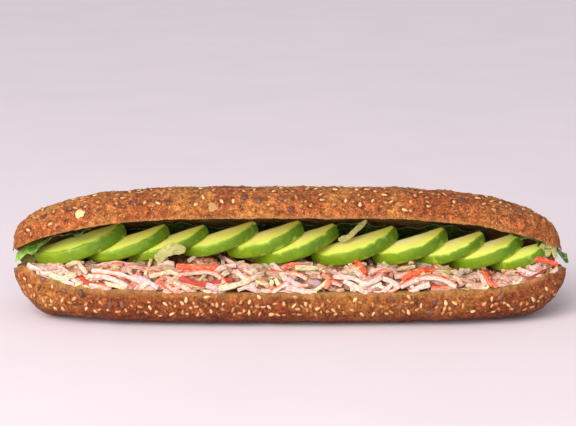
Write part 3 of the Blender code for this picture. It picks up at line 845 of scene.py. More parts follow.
@dataclass(frozen=True)
class RollShape:
    """Outlines of the roll in millimetres: a heel, and a crown tipped up about the back."""

    half_length: float = 145.0
    crown_right: float = 142.0
    half_width: float = 38.0
    plan_power: float = 3.3
    heel_widest: float = 13.0
    lip: float = 19.6
    nose: float = 22.0
    squareness: float = 2.7
    sink: float = 1.2
    crown_half_width: float = 37.0
    crown_height: float = 25.0
    crown_power: float = 4.2
    crown_right_power: float = 3.7
    roof_hollow: float = 9.5
    hinge: tuple[float, float] = (34.0, 22.0)
    open_angle: float = 28.0
    end_droop: float = 12.0
    lip_rise: float = 2.2
    lip_curl: float = 8.0
    lip_crumb: float = 0.7
    tip_start: float = 0.945
    tip_drop: float = 5.0
    end_lift: float = 3.5
    tip_lift: float = 19.0
    cut_hollow: float = 1.2
    arc_steps: int = 60
    cut_steps: int = 24
    crumb_steps: int = 5

    def heel_lip(self, u: float) -> float:
        """Give the height of the heel's front lip, which curls up towards both ends.

        Args:
            u: Fraction of the half length.

        Returns:
            Height in millimetres.
        """
        far = abs(u)
        curl = self.lip_curl * beyond(min(far, self.tip_start), 0.74, 0.2) ** 1.6
        rise = self.lip_rise * far**2 + curl
        return self.lip + rise - self.tip_drop * beyond(far, self.tip_start, 0.055) ** 2

    def heel_low(self, u: float) -> float:
        """Give the height of the heel's underside before it is pressed flat."""
        tip = self.tip_lift * beyond(abs(u), 0.87, 0.13) ** 1.7
        return -self.sink + self.end_lift * abs(u) ** 3 + tip

    def heel_back(self, u: float) -> float:
        """Give the height of the heel's back lip, at the hinge."""
        return self.hinge[1] - 0.6 + 1.5 * beyond(abs(u), 0.9, 0.1)

    def cut_height(self, u: float, y: float) -> float:
        """Give the height of the heel's cut face, a little hollow under the filling.

        Args:
            u: Fraction of the half length.
            y: Place across in millimetres.

        Returns:
            Height in millimetres.
        """
        half = self.half_width * max(0.05, tapered(u, self.plan_power))
        share = min(1.0, max(0.0, (y + half) / (2 * half)))
        back = self.heel_back(u)
        curl = (1.0 - share) ** (1.0 + 2.0 * beyond(abs(u), 0.8, 0.2))
        hollow = self.cut_hollow * math.sin(math.pi * share)
        return back + (self.heel_lip(u) - back) * curl - hollow

    def heel_outline(self, u: float) -> list[tuple[float, float, float]]:
        """Work out the heel's outline across the length.

        Args:
            u: Fraction of the half length.

        Returns:
            Points across and up in millimetres, each with its share of crumb.
        """
        half = self.half_width * tapered(u, self.plan_power)
        low = self.heel_low(u)
        middle = self.heel_widest + (self.nose - self.heel_widest) * abs(u) ** 6
        lip = max(self.heel_lip(u), middle + 1.0)
        back = max(self.heel_back(u), middle + 0.8)
        points = [(-0.972 * half, lip, self.lip_crumb), (-0.995 * half, 0.5 * (lip + middle), 0.0)]
        for step in range(self.arc_steps + 1):
            angle = math.pi * step / self.arc_steps
            y = -half * signed_power(math.cos(angle), 2 / self.squareness)
            z = middle - (middle - low) * signed_power(math.sin(angle), 2 / self.squareness)
            points.append((y, z, 0.0))
        points.append((0.995 * half, 0.5 * (back + middle), 0.0))
        points.append((0.96 * half, back, 0.0))
        for step in range(1, self.cut_steps):
            y = 0.96 * half - step / self.cut_steps * 1.932 * half
            crumb = min(1.0, step / self.crumb_steps)
            points.append((y, min(self.cut_height(u, y), max(lip, back)), crumb))
        return points

    def crown_angle(self, u: float) -> float:
        """Give how far the crown is tipped up, less towards its drooping ends."""
        return math.radians(self.open_angle - self.end_droop * abs(u) ** 4)

    def tip_up(self, u: float, along: float, up: float) -> tuple[float, float]:
        """Tip a point of the crown up about the hinge.

        Args:
            u: Fraction of the half length.
            along: Place along the crown's own cut face, from the hinge.
            up: Height over that face.

        Returns:
            Place across and height in millimetres.
        """
        angle = self.crown_angle(u)
        y = self.hinge[0] + along * math.cos(angle) + up * math.sin(angle)
        return y, self.hinge[1] - along * math.sin(angle) + up * math.cos(angle)

    def roof_rise(self, u: float, share: float) -> float:
        """Give the height of the pressed crumb over the cut face, share 0 at the front lip."""
        swell = math.sin(math.pi * min(1.0, max(0.0, share)) ** 1.1)
        return self.roof_hollow * tapered(u, self.crown_power) * max(0.0, swell) ** 0.8

    def crown_outline(self, u: float) -> list[tuple[float, float, float]]:
        """Work out the crown's outline across the length.

        Args:
            u: Fraction of the half length.

        Returns:
            Points across and up in millimetres, each with its share of crumb.
        """
        half = self.crown_half_width * tapered(u, self.plan_power)
        power = self.crown_power if u < 0 else self.crown_right_power
        height = self.crown_height * tapered(u, power)
        points = []
        for step in range(self.arc_steps + 1):
            angle = math.pi * step / self.arc_steps
            along = -self.crown_half_width + half * signed_power(math.cos(angle), 0.9)
            crumb = self.lip_crumb if step == self.arc_steps else 0.0
            y, z = self.tip_up(u, along, height * max(0.0, math.sin(angle)) ** 0.9)
            points.append((y, z, crumb))
        for step in range(1, self.cut_steps):
            share = step / self.cut_steps
            along = -self.crown_half_width - half + 2 * half * share
            crumb = min(1.0, (self.cut_steps - step) / self.crumb_steps)
            points.append((*self.tip_up(u, along, self.roof_rise(u, share)), crumb))
        return points

    def crown_share(self, x: float) -> float:
        """Give the fraction of the crown's half length at a place along the sandwich."""
        return x / (self.half_length if x < 0 else self.crown_right)

    def roof_height(self, x: float, y: float) -> float:
        """Find the height of the crown's roof above a point of the plan.

        Args:
            x: Place along the sandwich in millimetres.
            y: Place across it.

        Returns:
            Height in millimetres.
        """
        u = self.crown_share(x)
        half = self.crown_half_width * max(0.05, tapered(u, self.plan_power))
        angle = self.crown_angle(u)
        along = (y - self.hinge[0]) / math.cos(angle)
        up = 0.0
        for _ in range(6):
            up = self.roof_rise(u, (along + self.crown_half_width + half) / (2 * half))
            along = (y - self.hinge[0] - up * math.sin(angle)) / math.cos(angle)
        return self.hinge[1] - along * math.sin(angle) + up * math.cos(angle)

    def shares(self, count: int) -> np.ndarray:
        """Space stations evenly along the edge of the plan.

        Args:
            count: Number of stations.

        Returns:
            Fractions of the half length.
        """
        fine = np.sin(np.linspace(-0.5, 0.5, 4001) * math.pi) * 0.9985
        edge = [self.half_width * tapered(u, self.plan_power) for u in fine]
        steps = np.hypot(np.diff(fine) * self.half_length, np.diff(edge))
        far = np.concatenate(([0.0], np.cumsum(steps)))
        return np.interp(np.linspace(0.0, far[-1], count), far, fine)


@dataclass
class Roll:
    """The bread: heel, crown and the uncut crust along the back."""

    shape: RollShape
    stations: int = 420
    around: int = 216
    cap_steps: int = 5
    lumps: tuple[tuple[float, float], ...] = ((13.0, 0.7), (5.0, 0.42), (2.4, 0.34), (1.5, 0.22))
    web_reach: float = 0.8
    web_half_thickness: float = 3.2
    web_half_height: float = 5.5
    web_stations: int = 200
    web_around: int = 40
    rounding: int = 2
    tip_rounding: int = 30
    halo: float = 1.7
    halo_width: float = 1.1
    halo_depth: float = 0.22
    halo_shade: float = 0.7
    shade_height: float = 32.0
    pieces: list[bpy.types.Object] = field(default_factory=list)

    def rings(
        self, outline: Callable[[float], list[tuple[float, float, float]]], right: float
    ) -> tuple[np.ndarray, np.ndarray]:
        """Work out the rings of a length of bread and the share of crumb at each point.

        Args:
            outline: Outline across the length at a fraction of the half length.
            right: Half length to the right of the middle.

        Returns:
            Rings in metres and the crumb share of each point.
        """
        rings, crumbs = [], []
        for u in self.shape.shares(self.stations):
            passes = self.rounding + round(self.tip_rounding * beyond(abs(u), 0.95, 0.05))
            flat = rounded_ring(outline(u), self.around, passes)
            x = u * (self.shape.half_length if u < 0 else right)
            column = np.full(self.around, x)
            rings.append(np.column_stack((column, flat[:, 0], flat[:, 1])))
            crumbs.append(flat[:, 2])
        for end, sign, reach in ((0, -1, self.shape.half_length), (-1, 1, right)):
            edge, crumb = rings[end], crumbs[end]
            middle = edge.mean(axis=0)
            for step in range(1, self.cap_steps + 1):
                angle = 0.5 * math.pi * step / self.cap_steps
                cap = middle + (edge - middle) * math.cos(angle)
                cap[:, 0] = middle[0] + (sign * reach - middle[0]) * math.sin(angle)
                rings.insert(0 if end == 0 else len(rings), cap)
                crumbs.insert(0 if end == 0 else len(crumbs), crumb)
        return np.array(rings) * MM, np.array(crumbs)

    def roughened(self, bm: bmesh.types.BMesh) -> bmesh.types.BMesh:
        """Raise the crust's lumps, and keep the flat underside on the floor.

        Args:
            bm: Mesh of the crust.

        Returns:
            The same mesh.
        """
        bm.normal_update()
        for vert in bm.verts:
            lift = sum(relief(vert.co, size, depth) for size, depth in self.lumps)
            vert.co += vert.normal * lift * MM
            vert.co.z = max(0.0, vert.co.z)
        return bm

    def half(
        self,
        name: str,
        outline: Callable[[float], list[tuple[float, float, float]]],
        right: float,
        finish: bpy.types.Material,
    ) -> None:
        """Build one half of the roll.

        Args:
            name: Name of the piece.
            outline: Outline across the length at a fraction of the half length.
            right: Half length to the right of the middle.
            finish: Material of the crust.
        """
        rings, crumb = self.rings(outline, right)
        bm = bmesh.new()
        add_skin(bm, rings, {"crumb": crumb, "toast": np.zeros(crumb.shape)})
        closed_up(bm)
        self.pieces.append(to_piece(name, self.roughened(bm), finish, ["bread"]))

    def web(self, finish: bpy.types.Material) -> None:
        """Build the uncut crust that joins the halves along the back.

        Args:
            finish: Material of the crust.
        """
        rings = []
        count, around = self.web_stations, self.web_around
        for step in range(count):
            u = self.web_reach * (2 * step / (count - 1) - 1)
            slim = tapered(u / self.web_reach, 12)
            y = self.shape.hinge[0] - self.shape.crown_half_width * (
                1 - tapered(u, self.shape.plan_power)
            )
            angle = np.linspace(0, 2 * math.pi, around, endpoint=False)
            across = y + 0.8 - self.web_half_thickness * (1 - np.cos(angle) * slim)
            up = self.shape.hinge[1] + 0.6 - self.web_half_height * np.sin(angle) * slim
            x = np.full(around, u * self.shape.half_length)
            rings.append(np.column_stack((x, across, up)) * MM)
        bm = bmesh.new()
        bare = np.zeros((count, around))
        add_skin(bm, np.array(rings), {"crumb": bare, "toast": bare})
        closed_up(bm)
        self.pieces.append(to_piece("roll_hinge", self.roughened(bm), finish, ["bread"]))

    def build(self) -> None:
        """Build and dress the bread."""
        finish = WholegrainCrust().build()
        self.half("roll_heel", self.shape.heel_outline, self.shape.half_length, finish)
        self.half("roll_crown", self.shape.crown_outline, self.shape.crown_right, finish)
        self.web(finish)

    def paint_shade_round(self, spots: Sequence[Vector]) -> None:
        """Paint shade on the crust low down and close round each seed, and press it down there.

        Args:
            spots: Middles of the seeds.
        """
        near = KDTree(len(spots))
        for index, spot in enumerate(spots):
            near.insert(spot, index)
        near.balance()
        for piece in self.pieces:
            mesh = piece.data
            places = np.empty(3 * len(mesh.vertices))
            normals = np.empty_like(places)
            mesh.vertices.foreach_get("co", places)
            mesh.vertex_normals.foreach_get("vector", normals)
            places, normals = places.reshape(-1, 3), normals.reshape(-1, 3)
            far = np.array([near.find(place)[2] for place in places]) / MM
            share = np.clip(1.0 - np.abs(far - self.halo) / self.halo_width, 0.0, 1.0)
            # Painted shade: darker towards the floor and in a ring round each seed
            low = np.clip(1.0 - places[:, 2] / (self.shade_height * MM), 0.0, 1.0)
            toast = np.maximum(self.halo_shade * share, low)
            mesh.attributes["toast"].data.foreach_set("value", toast)
            share[places[:, 2] < self.halo_width * MM] = 0.0
            places -= normals * share[:, None] * self.halo_depth * MM
            mesh.vertices.foreach_set("co", places.ravel())
            mesh.update()

    def trees(self) -> list[BVHTree]:
        """Give a search tree of each piece."""
        graph = bpy.context.evaluated_depsgraph_get()
        return [BVHTree.FromObject(piece, graph) for piece in self.pieces]


def first_hit(trees: list[BVHTree], start: Vector, towards: Vector) -> tuple[Vector, Vector] | None:
    """Find where a ray first meets one of several surfaces.

    Args:
        trees: Search trees of the surfaces.
        start: Start of the ray.
        towards: Direction of the ray.

    Returns:
        Point and normal, or nothing where the ray misses.
    """
    best = None
    for tree in trees:
        spot, normal, _, far = tree.ray_cast(start, towards)
        if spot is not None and (best is None or far < best[2]):
            best = (spot, normal, far)
    return None if best is None else (best[0], best[1])


# Seeds


@dataclass(frozen=True)
class SeedKind:
    """One kind of seed: half sizes in millimetres, counts and where the view shows one.

    The count is scattered at the full spacing, and the extra ones closer together.
    """

    name: str
    half_size: tuple[float, float, float]
    count: int
    extra: int
    spacing: float
    finish: SeedHusk
    seen: tuple[tuple[float, float], ...]
    taper: float = 0.45
    ragged: float = 0.0


SEEDS_SEEN_OAT = ((79, 214), (168, 223), (212, 207))
SEEDS_SEEN_FLAX = (
    (44, 216), (70, 208), (134, 201), (244, 197), (258, 200), (291, 209), (461, 200), (43, 279),
    (39, 288), (64, 291), (81, 293), (110, 305), (392, 299), (436, 303), (501, 297), (400, 307),
)
SEEDS_SEEN_SESAME = (
    (50, 224), (28, 230), (31, 234), (34, 216), (86, 206), (98, 202), (203, 197), (272, 208),
    (254, 209), (296, 197), (311, 205), (405, 210), (411, 210), (429, 206), (478, 198), (25, 279),
    (30, 286), (52, 287), (43, 301), (51, 301), (74, 299), (70, 303), (63, 309), (86, 309),
    (101, 303), (409, 297), (492, 299), (497, 304), (207, 297), (217, 305), (233, 310), (269, 307),
    (284, 304), (260, 314), (259, 297), (295, 297), (329, 301), (355, 300), (373, 305), (186, 300),
    (140, 307), (182, 303), (172, 314), (160, 316),
)


@dataclass
class Seeds:
    """Seeds and flakes baked onto the crust."""

    view: Viewpoint
    trees: list[BVHTree]
    half_length: float
    crown_axis: tuple[float, float] = (2.0, 40.0)
    reach: float = 120.0
    crown_part: float = 0.72
    tightest: float = 4.2
    tries_each: int = 40
    taken: list[Vector] = field(default_factory=list)
    single: bpy.types.Mesh = field(default_factory=lambda: bpy.data.meshes.new("single_seed"))

    def kinds(self) -> tuple[SeedKind, ...]:
        """List the kinds, the largest first."""
        return (
            SeedKind(
                "oat_flakes", (3.6, 2.9, 0.4), 2, 2, 8.5,
                SeedHusk("oat_flake", "#dcc08c", "#ab7c48", 0.75), SEEDS_SEEN_OAT, 0.1, 0.34,
            ),
            SeedKind(
                "flax_seeds", (2.1, 1.35, 0.5), 14, 12, 8.5,
                SeedHusk("flax_seed", "#80503c", "#4c2b24", 0.5), SEEDS_SEEN_FLAX,
            ),
            SeedKind(
                "sesame_seeds", (1.6, 0.95, 0.6), 66, 230, 8.5,
                SeedHusk("sesame_seed", "#e6bd88", "#ab733f", 0.55), SEEDS_SEEN_SESAME,
            ),
            SeedKind(
                "bran_flakes", (1.35, 0.75, 0.22), 0, 620, 2.4,
                SeedHusk("bran_flake", "#d19c62", "#8a5229", 0.8), (), 0.2, 0.3,
            ),
        )

    def draw(self, rng: random.Random, on_crown: bool) -> tuple[Vector, Vector]:
        """Draw a ray towards a random place of the crust.

        Args:
            rng: Source of the place.
            on_crown: Whether it aims at the crown, not at the heel's sides.

        Returns:
            Start point in metres and unit direction.
        """
        x = rng.uniform(-0.97, 0.95) * self.half_length
        if on_crown:
            angle = math.radians(rng.uniform(-52, 68))
            centre = Vector((x, *self.crown_axis)) * MM
            out = Vector((0.0, math.sin(angle), math.cos(angle)))
            return centre + out * self.reach * MM, -out
        side = rng.choice((-1, -1, 1))
        height = rng.uniform(8, 15) + 9 * beyond(abs(x) / self.half_length, 0.84, 0.16)
        return Vector((x, side * self.reach, height)) * MM, Vector((0.0, -side, 0.0))

    def add(
        self, bm: bmesh.types.BMesh, kind: SeedKind, hit: tuple[Vector, Vector], rng: random.Random
    ) -> None:
        """Lay one seed flat on the crust.

        Args:
            bm: Mesh that the seed joins.
            kind: Kind of the seed.
            hit: Place on the crust and its normal.
            rng: Source of its turn, size and tone.
        """
        spot, normal = hit
        single = bmesh.new()
        layer = single.verts.layers.float.new("tone")
        fine = (16, 11) if kind.half_size[0] > 3.0 else (8, 5)
        bmesh.ops.create_uvsphere(single, u_segments=fine[0], v_segments=fine[1], radius=1.0)
        long, wide, thick = (part * rng.uniform(0.85, 1.15) for part in kind.half_size)
        turn = Matrix.Rotation(rng.uniform(0, 2 * math.pi), 4, "Z")
        lie = normal.to_track_quat("Z", "Y").to_matrix().to_4x4()
        tilt = Matrix.Rotation(rng.uniform(-0.22, 0.22), 4, "Y")
        seat = Matrix.Translation(spot - normal * thick * rng.uniform(0.05, 0.55) * MM)
        tone = rng.random() * 0.8
        for vert in single.verts:
            x, y, z = vert.co.z, vert.co.x, vert.co.y
            narrow = 1.0 - kind.taper * beyond(x, -0.2, 1.2)
            torn = 1.0 + kind.ragged * noise.noise(Vector((1.9 * x, 1.9 * y, len(self.taken))))
            crease = kind.ragged * thick * math.exp(-((y / 0.2) ** 2))
            vert.co = Vector((x * long * torn, y * wide * narrow * torn, z * thick - crease)) * MM
            vert.co = seat @ lie @ turn @ tilt @ vert.co
            vert[layer] = tone
        single.to_mesh(self.single)
        single.free()
        bm.from_mesh(self.single)
        self.taken.append(spot)

    def is_free(self, spot: Vector, spacing: float) -> bool:
        """Tell whether no other seed lies within a spacing of a place."""
        return all((spot - other).length > spacing * MM for other in self.taken)

    def build(self) -> list[Vector]:
        """Lay the seeds that the view shows, then scatter the others.

        Returns:
            Middles of the seeds, without those of the thin flakes of bran.
        """
        rng = random.Random(7)
        meshes, raised = [], []
        for kind in self.kinds():
            bm = bmesh.new()
            for pixel in kind.seen:
                hit = first_hit(self.trees, *self.view.ray(pixel))
                if hit:
                    self.add(bm, kind, hit, rng)
            meshes.append((kind, bm))
        for kind, bm in meshes:
            if not kind.seen:
                raised = list(self.taken)
            placed, tries = 0, 0
            wanted = kind.count + kind.extra
            while placed < wanted and tries < self.tries_each * wanted:
                tries += 1
                start, towards = self.draw(rng, placed < self.crown_part * wanted)
                hit = first_hit(self.trees, start, towards)
                spacing = kind.spacing
                if placed >= kind.count:
                    spacing = min(spacing, self.tightest)
                if hit and self.is_free(hit[0], spacing):
                    self.add(bm, kind, hit, rng)
                    placed += 1
            closed_up(bm)
            to_piece(kind.name, bm, kind.finish.build(), ["bread"])
        bpy.data.meshes.remove(self.single)
        return raised


# Avocado


@dataclass(frozen=True)
class AvocadoSlice:
    """One slice, in millimetres: where its middle is, its underside's height, its radius."""

    middle: float
    height: float
    radius: float


@dataclass
class AvocadoRow:
    """Eleven half rings of avocado, each leaning on the next, round edges to the front."""

    view: Viewpoint
    rise: float = math.tan(math.radians(18))
    nod: float = math.tan(math.radians(13))
    level_y: float = -9.0
    front_y: float = -21.0
    thickness: float = 7.2
    thinnest: float = 4.8
    half_arc: float = math.radians(55)
    tip_width: float = 3.2
    inner_reach: float = 0.93
    gap: float = 0.45
    bruises: tuple[tuple[int, float, float, float], ...] = ((2, 165.0, 236.0, 2.0),)
    # Pale spots: those on the sixth and fourth slices are pale flesh, the one on the ninth slice is a
    # painted highlight
    pale_spots_and_highlight: tuple[tuple[int, float, float, float], ...] = (
        (5, 253.0, 253.0, 3.0), (8, 431.0, 252.0, 1.5), (3, 254.0, 222.0, 1.5),
    )
    greenness: tuple[float, ...] = (0.4, 0.45, 0.6, 0.7, 0.8, 0.8, 0.7, 1.0, 1.0, 1.0, 0.8)
    stations: int = 60
    around: int = 72
    bevel: float = 0.4
    yellow_depth: float = 16.0
    sag: float = 0.35
    sag_size: float = 9.0
    tip_round: float = 0.9
    spot_edge: float = 0.6
    clearance: float = 0.7
    slices: tuple[AvocadoSlice, ...] = (
        AvocadoSlice(-109.5, 34.8, 30.0),
        AvocadoSlice(-85.0, 36.0, 27.5),
        AvocadoSlice(-63.8, 36.8, 26.3),
        AvocadoSlice(-36.8, 38.8, 25.0),
        AvocadoSlice(-12.9, 38.0, 25.0),
        AvocadoSlice(2.5, 34.9, 28.4),
        AvocadoSlice(33.8, 33.9, 28.0),
        AvocadoSlice(62.5, 34.5, 24.4),
        AvocadoSlice(83.1, 34.3, 22.6),
        AvocadoSlice(101.7, 31.7, 24.4),
        AvocadoSlice(119.6, 30.9, 18.5),
    )

    def underside(self, index: int, x: float, y: float) -> float:
        """Give the height of a slice's flat underside, or of that plane beyond its edge."""
        cut = self.slices[index]
        return cut.height + (x - cut.middle) * self.rise + (y - self.level_y) * self.nod

    def thick(self, index: int) -> float:
        """Give the thickness of a slice, thinner where it slips under the one before it.

        Args:
            index: Place of the slice in the row.

        Returns:
            Thickness in millimetres.
        """
        if index == 0:
            return self.thickness
        drop = self.underside(index - 1, 0, 0) - self.underside(index, 0, 0)
        square = drop / math.sqrt(1 + self.rise**2 + self.nod**2)
        return max(self.thinnest, min(self.thickness, square - self.gap))

    def centre(self, index: int) -> Vector:
        """Give the centre of the ring that a slice is half of, on its underside.

        Args:
            index: Place of the slice in the row.

        Returns:
            Point in millimetres.
        """
        cut = self.slices[index]
        y = self.front_y + cut.radius * 0.97
        return Vector((cut.middle, y, self.underside(index, cut.middle, y)))

    def under(self, x: float, y: float, margin: float) -> float:
        """Give the height below which a point of the plan is clear of every slice.

        Args:
            x: Place along the sandwich in millimetres.
            y: Place across it.
            margin: How far past its edge a slice still counts.

        Returns:
            Height in millimetres, very large where no slice is near.
        """
        clear = 1000.0
        for index, cut in enumerate(self.slices):
            middle = self.centre(index)
            if math.hypot(x - middle.x, y - middle.y) < cut.radius + margin:
                clear = min(clear, self.underside(index, x, y) - self.clearance)
        return clear

    def over(self, x: float, y: float, margin: float) -> float:
        """Give the height above which a point of the plan is clear of every slice.

        Args:
            x: Place along the sandwich in millimetres.
            y: Place across it.
            margin: How far past its edge a slice still counts.

        Returns:
            Height in millimetres, 0 where no slice is near.
        """
        clear = 0.0
        steep = math.sqrt(1 + self.rise**2 + self.nod**2)
        for index, cut in enumerate(self.slices):
            middle = self.centre(index)
            if math.hypot(x - middle.x, y - middle.y) < cut.radius + margin:
                top = self.underside(index, x, y) + self.thick(index) * steep
                clear = max(clear, top + self.gap)
        return clear

    def lay(self, index: int) -> Matrix:
        """Work out the matrix that lays a slice on its sloping plane.

        Args:
            index: Place of the slice in the row.

        Returns:
            Matrix in millimetres.
        """
        up = Vector((-self.rise, -self.nod, 1)).normalized()
        along = Vector((1, 0, self.rise)).normalized()
        turn = Matrix((along, up.cross(along), up)).transposed().to_4x4()
        return Matrix.Translation(self.centre(index)) @ turn

    def rings(self, index: int) -> tuple[np.ndarray, np.ndarray]:
        """Work out the rings of one slice and how far inside its rim each point lies.

        Args:
            index: Place of the slice in the row.

        Returns:
            Rings in metres and the depth of each point, 0 at the rim and 1 well inside.
        """
        radius, thick = self.slices[index].radius, self.thick(index)
        lay = self.lay(index)
        chord = radius * math.cos(self.half_arc) - self.tip_width
        rings, depths = [], []
        for step in range(self.stations):
            angle = self.half_arc * (2 * step / (self.stations - 1) - 1)
            inner = Vector((self.inner_reach * radius * math.sin(angle), -chord, 0))
            outer = Vector((radius * math.sin(angle), -radius * math.cos(angle), 0))
            wide = (inner - outer).length
            corners = (
                (0.0, 0.0),
                (wide - self.bevel, 0.0),
                (wide, 0.3 * thick),
                (wide, 0.7 * thick),
                (wide - self.bevel, thick),
                (0.0, thick),
            )
            flat = rounded_ring(corners, self.around, 1)
            ring = []
            for far, up in flat:
                point = inner.lerp(outer, far / wide)
                sag = self.sag * relief((point.x * MM, point.y * MM, index), self.sag_size, 1.0)
                ring.append(lay @ Vector((point.x, point.y, up + sag)))
            rings.append(ring)
            inside = (wide - flat[:, 0]) / self.yellow_depth
            depths.append(np.clip(inside * self.greenness[index], 0.0, 1.0))
        for end in (0, -1):
            edge, depth = [Vector(point) for point in rings[end]], depths[end]
            middle = sum(edge, Vector()) / len(edge)
            out = (middle - lay @ Vector((0, -chord, thick / 2))).normalized()
            for turn in (0.35, 0.7, 1.0):
                angle = 0.5 * math.pi * turn
                cap = [
                    middle + (point - middle) * math.cos(angle) + out * self.tip_round * math.sin(angle)
                    for point in edge
                ]
                rings.insert(0 if end == 0 else len(rings), cap)
                depths.insert(0 if end == 0 else len(depths), depth)
        return np.array([[tuple(p) for p in ring] for ring in rings]) * MM, np.array(depths)

    def spots(
        self, index: int, rings: np.ndarray, marks: Iterable[tuple[int, float, float, float]]
    ) -> np.ndarray:
        """Work out how far each point of a slice lies within spots that the view shows.

        Args:
            index: Place of the slice in the row.
            rings: Rings of the slice in metres.
            marks: For each spot its slice, column, row and radius in millimetres.

        Returns:
            For each point 1 inside a spot, 0 outside.
        """
        shares = np.zeros(rings.shape[:2])
        for owner, column, row, radius in marks:
            if owner == index:
                start, towards = self.view.ray((column, row))
                offset = rings - np.array(start)
                aside = np.linalg.norm(np.cross(offset, np.array(towards)), axis=2) / MM
                inside = np.clip((radius - aside) / self.spot_edge, 0.0, 1.0)
                shares = np.maximum(shares, inside)
        return shares

    def build(self) -> None:
        """Build and dress the slices."""
        finish = AvocadoFlesh().build()
        for index in range(len(self.slices)):
            rings, depth = self.rings(index)
            # The turn attribute is painted shade: the rim darkens from the slice's left end to its right
            # end
            turn = np.broadcast_to(np.linspace(0.0, 0.5, len(rings))[:, None], depth.shape)
            bruise = self.spots(index, rings, self.bruises)
            pale = self.spots(index, rings, self.pale_spots_and_highlight)
            bm = bmesh.new()
            add_skin(bm, rings, {"depth": depth, "turn": turn, "bruise": bruise, "pale": pale})
            closed_up(bm)
            name = f"avocado_{index + 1:02d}"
            to_piece(name, bm, finish, [f"avocado_slice_{index + 1:02d}"])


# The salad


class Skin(Enum):
    """Side of a shred that has the red skin of the surimi stick: how far up, how far to the front."""

    NONE = (0.0, 0.0)
    FRONT = (0.0, 1.0)
    UPPER = (1.0, 0.0)
    LOWER = (-1.0, 0.0)
    ALL = (1.0, 1.0)


class Tint(Enum):
    """Colour of the flesh of a shred."""

    WHITE = "#f0d6ca"
    PINK = "#eebfae"
    CREAM = "#f0dcba"
    TAN = "#d9ae78"
    LILAC = "#dcc4cb"
    PURPLE = "#9d8a9c"
    PALE_GREEN = "#dbe0ae"
    GREEN = "#92ab4c"
    CLEAR = "#dfe2cc"
    BURGUNDY = "#8e3236"
    CORAL = "#e98a66"
    # A shaded copy of the red skin colour: painted shade on the lower strips
    SHADED_RED = "#b42c0a"
    PALE_LEAF = "#b4c878"


@dataclass(frozen=True)
class Shred:
    """A shred that the view shows: its colours, its size and its run across the image."""

    tint: Tint
    skin: Skin
    width: float
    thick: float
    lift: float
    run: tuple[tuple[float, float], ...]
    # How much painted shade darkens the tint, 1 for none
    light: float = 1.0
    across: float | None = None

    @property
    def is_leaf(self) -> bool:
        """Tell whether it is thin leaf, with ruffled edges and pointed ends."""
        return self.thick < 1.0


